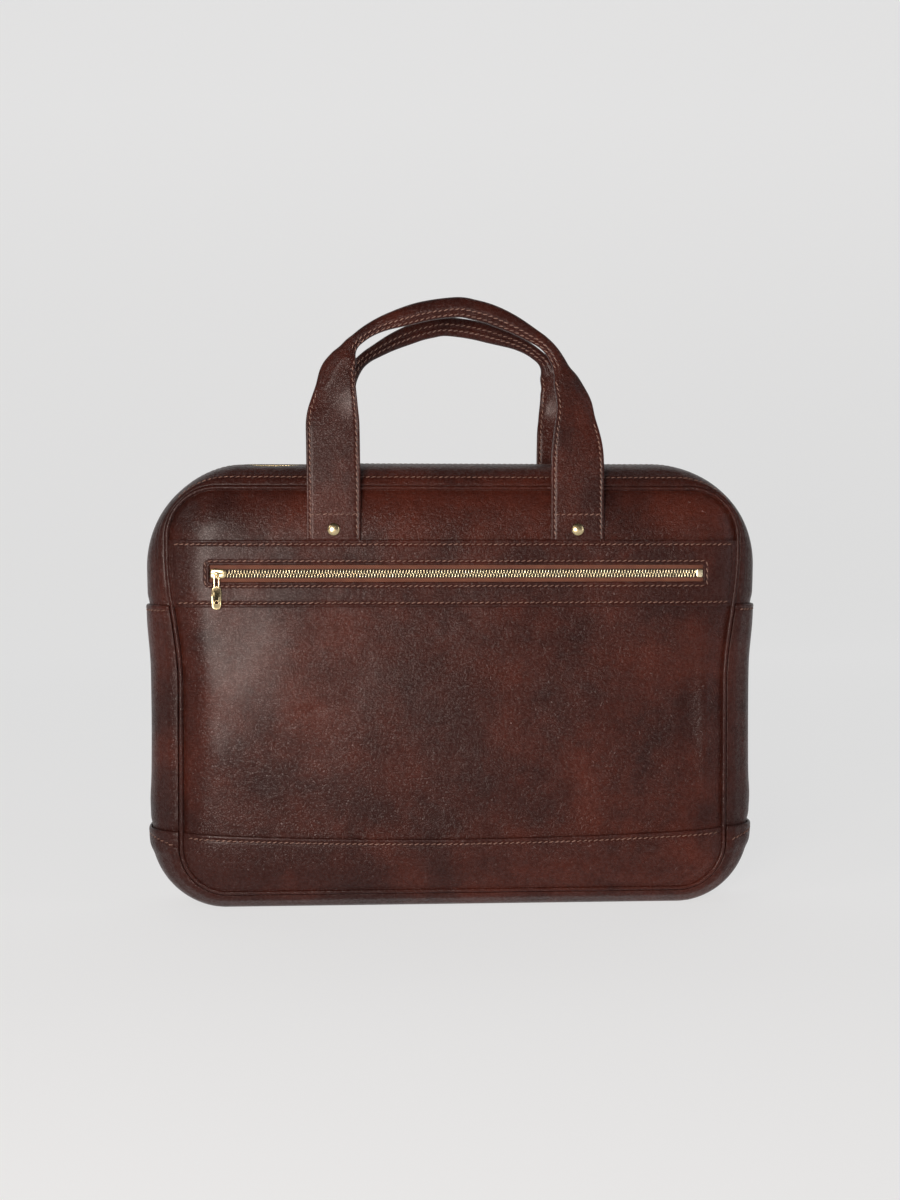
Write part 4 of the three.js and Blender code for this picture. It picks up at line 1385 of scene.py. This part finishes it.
# Sections of a handle from the left foot to the right one: across as a share of half the span,
# up as a share of the rise, roll from flat strap to rolled grip.
HANDLE_ROWS = np.array(
    [
        (-1, 0, 0),
        (-1, 0.2, 0),
        (-1.003, 0.4, 0),
        (-1.005, 0.515, 0.02),
        (-0.99, 0.6, 0.23),
        (-0.967, 0.679, 0.5),
        (-0.944, 0.738, 0.68),
        (-0.881, 0.8, 0.88),
        (-0.789, 0.846, 1),
        (-0.675, 0.891, 1),
        (-0.52, 0.934, 1),
        (-0.285, 0.978, 1),
        (0, 1, 1),
        (0.15, 0.99, 1),
        (0.303, 0.967, 1),
        (0.463, 0.926, 1),
        (0.625, 0.869, 1),
        (0.7, 0.84, 1),
        (0.77, 0.802, 0.98),
        (0.845, 0.742, 0.93),
        (0.91, 0.68, 0.8),
        (0.967, 0.58, 0.57),
        (0.99, 0.475, 0.23),
        (1, 0.37, 0.03),
        (1, 0.2, 0),
        (1, 0, 0),
    ],
    float,
)


def through(rows, count):
    """A smooth line through rows of values, a cubic between each two with slopes from their
    neighbours, read again at even steps of its length in the first two values."""
    t = np.linspace(0, len(rows) - 1, count * 4)
    i = np.clip(t.astype(int), 0, len(rows) - 2)
    s = (t - i)[:, None]
    before, here = rows[np.maximum(i - 1, 0)], rows[i]
    after, last = rows[i + 1], rows[np.minimum(i + 2, len(rows) - 1)]
    start, end = (after - before) / 2, (last - here) / 2
    line = (
        (2 * s**3 - 3 * s**2 + 1) * here
        + (s**3 - 2 * s**2 + s) * start
        + (3 * s**2 - 2 * s**3) * after
        + (s**3 - s**2) * end
    )
    lengths = np.concatenate([[0], np.cumsum(np.hypot(*np.diff(line[:, :2], axis=0).T))])
    even = np.linspace(0, lengths[-1], count)
    return np.stack([np.interp(even, lengths, line[:, k]) for k in range(line.shape[1])], -1)


STRAP_WIDTH = 35.0
STRAP_DEPTH = 3.0
GRIP_HEIGHT = 13.4
GRIP_DEPTH = 8.6
GRIP_SET_BACK = 3.0
HANDLE_HALF_SPAN = 80.0
EDGE_STITCH = 2.4
GRIP_THINNING = 5.0
FOLD_SLANT = 6.5
SHOULDER = 1.6
# Each handle's name, how far its grip rises over its feet, and -1 where it is turned half round.
HANDLES = (("front", 152.2, 1), ("back", 149.2, -1))
# Turns round the section at which each handle's grip seam and its two stitch rows run.
SEAM_TURNS = {"front": math.radians(122), "back": math.radians(262)}
SEAM_STITCH_TURN = math.radians(17)


def handle_line(rise, count=320):
    """Middle line of a handle, with the roll, in-plane direction and section sizes along it.
    The grip is thickest in the middle and thins towards both ends, along its inner side."""
    rows = HANDLE_ROWS * np.array([HANDLE_HALF_SPAN, rise, 1.0])
    line = through(rows, count)
    roll = np.clip(line[:, 2], 0, 1)
    along = np.gradient(line[:, :2], axis=0)
    along /= np.linalg.norm(along, axis=-1, keepdims=True)
    width = STRAP_WIDTH + (GRIP_HEIGHT - STRAP_WIDTH) * roll
    depth = STRAP_DEPTH + (GRIP_DEPTH - STRAP_DEPTH) * roll
    thin = GRIP_THINNING * smooth(0.85, 1, roll) * smooth(24, 62, np.abs(line[:, 0]))
    front = HANDLE_LOW[1]
    middle = front + STRAP_DEPTH / 2 + 0.05 + GRIP_SET_BACK * roll
    path = np.stack([line[:, 0], middle, HANDLE_LOW[2] + line[:, 1]], -1)
    out = np.stack([-along[:, 1], 0 * roll, along[:, 0]], -1)
    return path + out * thin[:, None] / 2, out, roll, width - thin, depth - thin * 0.4


def handle_section(turn, roll, width, depth, seam_turn):
    """A handle's section at a turn round it: a flat strap with nearly square edges that becomes
    an ellipse as it rolls. Its outer edge folds back first and its inner edge stays flat
    longest. The strap has grooves for its stitches, and the grip a sewn seam."""
    turn, roll = np.broadcast_arrays(turn, roll)
    c, s = np.cos(turn), np.sin(turn)
    outer = smooth(-0.7, 0.7, c)
    late, early = smooth(0.6, 1, roll), smooth(0.05, 0.75, roll)
    power = 0.2 + 0.8 * (late + (early - late) * outer)
    full = STRAP_DEPTH + (depth - STRAP_DEPTH) / np.maximum(roll, 0.05) * roll
    side = late + (early - late) * outer
    thick = STRAP_DEPTH + (full - STRAP_DEPTH) * np.minimum(side / np.maximum(roll, 0.05), 1)
    out = width / 2 * np.sign(c) * np.abs(c) ** power
    y = -thick / 2 * np.sign(s) * np.abs(s) ** power
    from_edge = width / 2 - np.abs(out)
    flat = 1 - smooth(0.5, 0.9, roll)
    groove = 0.3 * bump_at(from_edge, EDGE_STITCH, 0.8) * flat * (s != 0)
    y = y * (1 - groove / (thick / 2))
    grip = smooth(0.75, 0.97, roll)
    seam = bump_at(turn, seam_turn, 0.09) * grip
    puff = (bump_at(turn, seam_turn - 0.5, 0.22) + bump_at(turn, seam_turn + 0.5, 0.22)) * grip
    swollen = 1 - 0.2 * seam + 0.04 * puff
    folding = 4 * roll * (1 - roll)
    slant = FOLD_SLANT * folding * (out / width)
    crease = 1 - 0.12 * bump_at(roll, 0.9, 0.06)
    shoulder = SHOULDER * bump_at(roll, 0.6, 0.16) * np.maximum(c, 0)
    return out * swollen * crease + shoulder, y * swollen * crease + slant


class CASE_OT_handles(bpy.types.Operator):
    """Builds the two handles"""

    bl_idname = "case.handles"
    bl_label = "Handles"

    def execute(self, context):
        for name, rise, turned in HANDLES:
            path, out, roll, width, depth = handle_line(rise)
            turn = np.linspace(0, 2 * math.pi, 96, endpoint=False)[None, :]
            sizes = (roll[:, None], width[:, None], depth[:, None])
            away, y = handle_section(turn, *sizes, SEAM_TURNS[name])
            ring = path[:, None] + out[:, None] * away[..., None]
            ring = ring + np.array([0.0, 1.0, 0.0]) * y[..., None]
            ring = ring * np.array([turned, turned, 1])
            quads = grid_quads(*ring.shape[:2], False, True)
            points, quads, triangles = closed_ends(ring, quads)
            leather = material_for("handle")
            piece = new_object(f"{name}_strap", points, quads, leather, triangles)
            place_piece(piece, "case", "leather", f"{name}_handle")
        return {"FINISHED"}


HEAD_HEIGHT = 2.0
HEAD_RIM = 0.35
SHANK_RADIUS = 1.5
CAP_RADIUS = 3.8
CAP_THICKNESS = 1.0


class CASE_OT_rivets(bpy.types.Operator):
    """Builds the four rivets"""

    bl_idname = "case.rivets"
    bl_label = "Rivets"

    def execute(self, context):
        middle = (RIVET_LOW + RIVET_HIGH) / 2
        front, inner = -RIVET_LOW[1], -RIVET_HIGH[1]
        head = (RIVET_HIGH[2] - RIVET_LOW[2]) / 2
        seat = front - HEAD_HEIGHT
        cap = inner + CAP_THICKNESS
        dome = np.linspace(0.02, 1, 12) * math.pi / 2
        radius = np.concatenate(
            [
                head * np.sin(dome),
                [head, head * 0.96, SHANK_RADIUS, SHANK_RADIUS, CAP_RADIUS, CAP_RADIUS, 0.05],
            ]
        )
        depth = np.concatenate(
            [
                seat + HEAD_RIM + (HEAD_HEIGHT - HEAD_RIM) * np.cos(dome),
                [seat + 0.15, seat, seat, cap, cap, inner, inner],
            ]
        )
        steps = 40
        turn = np.linspace(0, 2 * math.pi, steps, endpoint=False)
        x = radius[:, None] * np.cos(turn)
        z = radius[:, None] * np.sin(turn)
        for side, facing in (("front", -1), ("back", 1)):
            for hand, across in (("left", -1), ("right", 1)):
                y = facing * depth[:, None] + 0 * x
                ring = np.stack([x + across * HANDLE_HALF_SPAN, y, z + middle[2]], -1)
                quads = grid_quads(len(radius), steps, False, True)
                points, quads, triangles = closed_ends(ring, quads)
                name = f"{side}_stud_{hand}"
                piece = new_object(name, points, quads, material_for("casting"), triangles)
                place_piece(piece, "case", "brass", f"{side}_rivet_{hand}")
        return {"FINISHED"}


def band_stitch_line(x, z, sink):
    """Line of stitches on a band, sunk a little under its outer side."""
    return front_line(x, z, GAP + BAND_HIDE - sink)


CROSS_ROW_HEIGHT = 17.0


class CASE_OT_stitching(bpy.types.Operator):
    """Sews the bands, the gusset and the handles"""

    bl_idname = "case.stitching"
    bl_label = "Stitching"

    def sew(self, name, rows):
        """One piece of all the stitch rows of a seam."""
        points, quads, triangles = join_parts([stitch_row(p, n) for p, n in rows])
        piece = new_object(name, points, quads, material_for("thread"), triangles)
        place_piece(piece, "case", "leather")

    def execute(self, context):
        rows = []
        x = np.linspace(-1, 1, 400)
        for z in (BAND_LOW[2] + BAND_STITCH, BAND_HIGH[2] - BAND_STITCH):
            across = x * (row_half(z) - 3)
            path = band_stitch_line(across, z, 0.1)
            rows.append((path, facing(path)))
        corner_x, corner_z = [], []
        for sx, sz in ((-1, -1), (1, -1), (1, 1), (-1, 1), (-1, -1)):
            corner_x.append(CHAIN_MIDDLE + sx * (WINDOW_HALF + WINDOW_STITCH))
            corner_z.append(ZIP_Z + sz * (WINDOW_HALF_HEIGHT + WINDOW_STITCH))
        for i in range(4):
            share = np.linspace(0.004, 0.996, 300)
            px = corner_x[i] + (corner_x[i + 1] - corner_x[i]) * share
            pz = corner_z[i] + (corner_z[i + 1] - corner_z[i]) * share
            path = band_stitch_line(px, pz, 0.1)
            rows.append((path, facing(path)))
        self.sew("zip_band_stitches", rows)
        across = x * (row_half(FOOT_EDGE_Z) - 3)
        path = band_stitch_line(across, foot_band_edge(across) - FOOT_STITCH, 0.1)
        self.sew("foot_band_stitches", [(path, facing(path))])
        self.gusset_rows()
        self.handle_rows()
        return {"FINISHED"}

    def gusset_rows(self):
        """Two rows along each top strip, and one across each side seam."""
        half = np.linspace(3.5, 5, 400)
        stations = over_the_top(half)
        for side, name in ((-1, "front"), (1, "back")):
            rows = []
            for place in (0.93, 0.27):
                near = side * np.array([place - 0.01, place, place + 0.01])
                grid = gusset_grid(stations, near, seam_lift_top)
                n = outward(grid_normals(grid), grid)
                rows.append((grid[:, 1] - n[:, 1] * 0.15, n[:, 1]))
            self.sew(f"top_{name}_stitches", rows)
        places = np.linspace(-0.985, 0.985, 200)
        for hand, name in ((-1, "left"), (1, "right")):
            rows = []
            for edge, lift in ((UPPER_SEAM, seam_lift_side), (LOWER_SEAM, seam_lift_base)):
                near = side_stations(edge - 3.5, edge - 1.5, 0.4, [np.array([edge - 2.5])])
                grid = gusset_grid(hand * near, places, lambda z, s: lift(z))
                n = outward(grid_normals(grid), grid)
                row = len(near) // 2
                rows.append((grid[row] - n[row] * 0.15, n[row]))
            self.sew(f"side_{name}_stitches", rows)

    def handle_rows(self):
        """Rows along the straps' edges, across their feet and beside the grips' seams."""
        for name, rise, turned in HANDLES:
            path, out, roll, width, depth = handle_line(rise, 500)
            spin = np.array([turned, turned, 1])
            y_axis = np.array([0.0, 1.0, 0.0])
            rows = []
            sizes = (roll, width, depth, SEAM_TURNS[name])
            for edge, until in ((-1, 0.86), (1, 0.3)):
                for face in (-1, 1):
                    line, n = edge_row(path, out, *sizes, edge, face)
                    for leg in (slice(4, 200), slice(300, 496)):
                        keep = roll[leg] < until
                        rows.append((line[leg][keep] * spin, n[leg][keep] * spin))
            for foot in (-1, 1):
                cross = np.linspace(-1, 1, 60) * (STRAP_WIDTH / 2 - EDGE_STITCH)
                x = foot * HANDLE_HALF_SPAN + cross
                front, height = HANDLE_LOW[1] - 0.05, HANDLE_LOW[2] + CROSS_ROW_HEIGHT
                row = np.stack([x, 0 * x + front, 0 * x + height], -1)
                rows.append((row * spin, facing(row) * spin))
            for sign in (-1, 1):
                turn = SEAM_TURNS[name] + sign * SEAM_STITCH_TURN
                keep = roll > 0.93
                away, y = handle_section(turn, roll, width, depth, SEAM_TURNS[name])
                # The grip is flatter than round, so its normals lean to the front and back.
                normal = out * math.cos(turn) - y_axis * math.sin(turn) * 1.4
                normal /= np.linalg.norm(normal, axis=-1, keepdims=True)
                line = path + out * away[:, None] + y_axis * y[:, None]
                rows.append((line[keep] * spin, normal[keep] * spin))
            self.sew(f"{name}_handle_stitches", rows)


def edge_row(path, out, roll, width, depth, seam_turn, edge, face):
    """Line along a handle at the stitches' distance from one edge of one face, with its normals.
    The point of each section is the one of that face that is nearest to the distance."""
    turn = np.linspace(0.02, math.pi - 0.02, 400) + (0 if face < 0 else math.pi)
    columns = (roll[:, None], width[:, None], depth[:, None])
    away, y = handle_section(turn[None], *columns, seam_turn)
    target = edge * (width / 2 - EDGE_STITCH * (1 - 0.3 * roll))
    rows = np.arange(len(roll))
    at = np.argmin(np.abs(away - target[:, None]), 1)
    d_away, d_y = np.gradient(away, axis=1)[rows, at], np.gradient(y, axis=1)[rows, at]
    y_axis = np.array([0.0, 1.0, 0.0])
    line = path + out * away[rows, at][:, None] + y_axis * y[rows, at][:, None]
    n = y_axis * d_away[:, None] - out * d_y[:, None]
    n = n / np.maximum(np.linalg.norm(n, axis=-1, keepdims=True), 1e-9)
    return line + n * 0.05, n


def area_light(name, place, aim, size, power, colour="#ffffff"):
    """A soft oblong light that points from its place to its aim."""
    light = bpy.data.lights.new(name, "AREA")
    light.shape = "RECTANGLE"
    light.size, light.size_y = size
    light.energy = power
    light.color = linear(colour)[:3]
    lamp = bpy.data.objects.new(name, light)
    lamp.location = place
    away = Vector(place) - Vector(aim)
    lamp.rotation_euler = away.to_track_quat("Z", "Y").to_euler()
    bpy.context.scene.collection.objects.link(lamp)


CAMERA_PLACE = (-0.080, -1.200, 0.243)
CAMERA_AIM_PIXEL = (448.8, 600.0)
MM_PER_PIXEL = 0.675
PRINCIPAL_PIXEL = (332.0, 541.0)
PHOTO_SIZE = (900.0, 1200.0)
LENS_TRIM = 0.996


class CASE_OT_stage(bpy.types.Operator):
    """Lays the pale floor and sets the lights and the camera"""

    bl_idname = "case.stage"
    bl_label = "Floor, lights and camera"

    def execute(self, context):
        context.scene.view_settings.view_transform = "Standard"
        self.floor()
        self.lights()
        self.camera()
        return {"FINISHED"}

    def floor(self):
        """A floor that curves up into a backdrop: level, then a quarter circle, then upright."""
        size = bpy.context.scene.case_sizes.floor_size / MM
        radius, behind = 1500.0, 2500.0
        turn = np.linspace(0, math.pi / 2, 24)
        y = np.concatenate([[-size / 2], behind + radius * np.sin(turn), [behind + radius]])
        z = np.concatenate([[0], radius * (1 - np.cos(turn)), [size / 2]])
        x = np.linspace(-size / 2, size / 2, 3)
        grid = np.stack(np.broadcast_arrays(x[:, None], y[None], z[None]), -1)
        quads = grid_quads(*grid.shape[:2])
        colours = bpy.context.scene.case_colours
        material, _, shader, _ = start_material("Pale matt paper")
        # Lit from behind as well as from above, as a light table is, so that it stays even.
        shader.inputs["Base Color"].default_value = linear(colours.floor_shade)
        shader.inputs["Emission Color"].default_value = linear(colours.floor)
        shader.inputs["Emission Strength"].default_value = 0.83
        shader.inputs["Roughness"].default_value = 0.9
        shader.inputs["Specular IOR Level"].default_value = 0.0
        piece = new_object("floor", grid - np.array([0, 0, 0.2]), quads, material)

    def lights(self):
        """The room's light, brighter at the height of the case than overhead, and three lamps."""
        world = bpy.data.worlds.new("Studio")
        bpy.context.scene.world = world
        world.use_nodes = True
        tree = world.node_tree
        tree.nodes.clear()
        where = node(tree, "ShaderNodeTexCoord").outputs["Generated"]
        up = node(tree, "ShaderNodeSeparateXYZ", Vector=where).outputs["Z"]
        strength = span(tree, up, 0.12, 0.75, 0.18, 0.06)
        glow = node(tree, "ShaderNodeBackground", Strength=strength)
        glow.inputs["Color"].default_value = (1, 1, 1, 1)
        node(tree, "ShaderNodeOutputWorld", Surface=glow.outputs[0])
        aim = (0, 0, 0.18)
        area_light("Sheen, left", (-0.52, -1.75, 0.24), aim, (0.5, 0.44), 34, "#fff1e8")
        area_light("Key, upper left", (-1.3, -1.2, 1.2), aim, (0.5, 0.7), 3.5, "#fffaf4")
        area_light("Fill, right", (1.7, -1.0, 0.5), aim, (0.3, 1.2), 4.5, "#f6f8ff")

    def camera(self):
        """A camera that looks level enough to keep the case upright, at the photo's angle."""
        data = bpy.data.cameras.new("Camera")
        camera = bpy.data.objects.new("Camera", data)
        place = Vector(CAMERA_PLACE)
        dx = (CAMERA_AIM_PIXEL[0] - PRINCIPAL_PIXEL[0]) * MM_PER_PIXEL * MM
        dz = -(CAMERA_AIM_PIXEL[1] - PRINCIPAL_PIXEL[1]) * MM_PER_PIXEL * MM
        distance = -place.y
        aim = Vector((place.x + dx, 0, place.z + dz))
        camera.location = place
        camera.rotation_euler = (place - aim).to_track_quat("Z", "Y").to_euler()
        data.sensor_width = 36
        data.lens = 36 * distance / (PHOTO_SIZE[1] * MM_PER_PIXEL * MM) * LENS_TRIM
        data.clip_start, data.clip_end = 0.05, 50
        bpy.context.scene.collection.objects.link(camera)
        bpy.context.scene.camera = camera


class CASE_PT_panel(bpy.types.Panel):
    """The sizes, the colours and a button for each group of pieces"""

    bl_label = "Document case"
    bl_idname = "CASE_PT_panel"
    bl_space_type = "VIEW_3D"
    bl_region_type = "UI"
    bl_category = "Document case"

    def draw(self, context):
        for group in (context.scene.case_sizes, context.scene.case_colours):
            for name in group.__annotations__:
                self.layout.prop(group, name)
        for operator in OPERATORS:
            self.layout.operator(operator.bl_idname)


OPERATORS = (
    CASE_OT_stage,
    CASE_OT_faces,
    CASE_OT_bands,
    CASE_OT_piping,
    CASE_OT_gusset,
    CASE_OT_front_zip,
    CASE_OT_zip_pull,
    CASE_OT_top_zip,
    CASE_OT_handles,
    CASE_OT_rivets,
    CASE_OT_stitching,
)
CLASSES = (CaseSizes, CaseColours, *OPERATORS, CASE_PT_panel)


def register():
    """Adds the properties, the operators and the panel to Blender."""
    for cls in CLASSES:
        bpy.utils.register_class(cls)
    bpy.types.Scene.case_sizes = bpy.props.PointerProperty(type=CaseSizes)
    bpy.types.Scene.case_colours = bpy.props.PointerProperty(type=CaseColours)


def unregister():
    """Takes them out again."""
    del bpy.types.Scene.case_colours
    del bpy.types.Scene.case_sizes
    for cls in reversed(CLASSES):
        bpy.utils.unregister_class(cls)


def main():
    """Builds the whole scene through its operators."""
    register()
    for operator in OPERATORS:
        group, name = operator.bl_idname.split(".")
        getattr(getattr(bpy.ops, group), name)()
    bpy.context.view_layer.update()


if __name__ == "__main__":
    main()
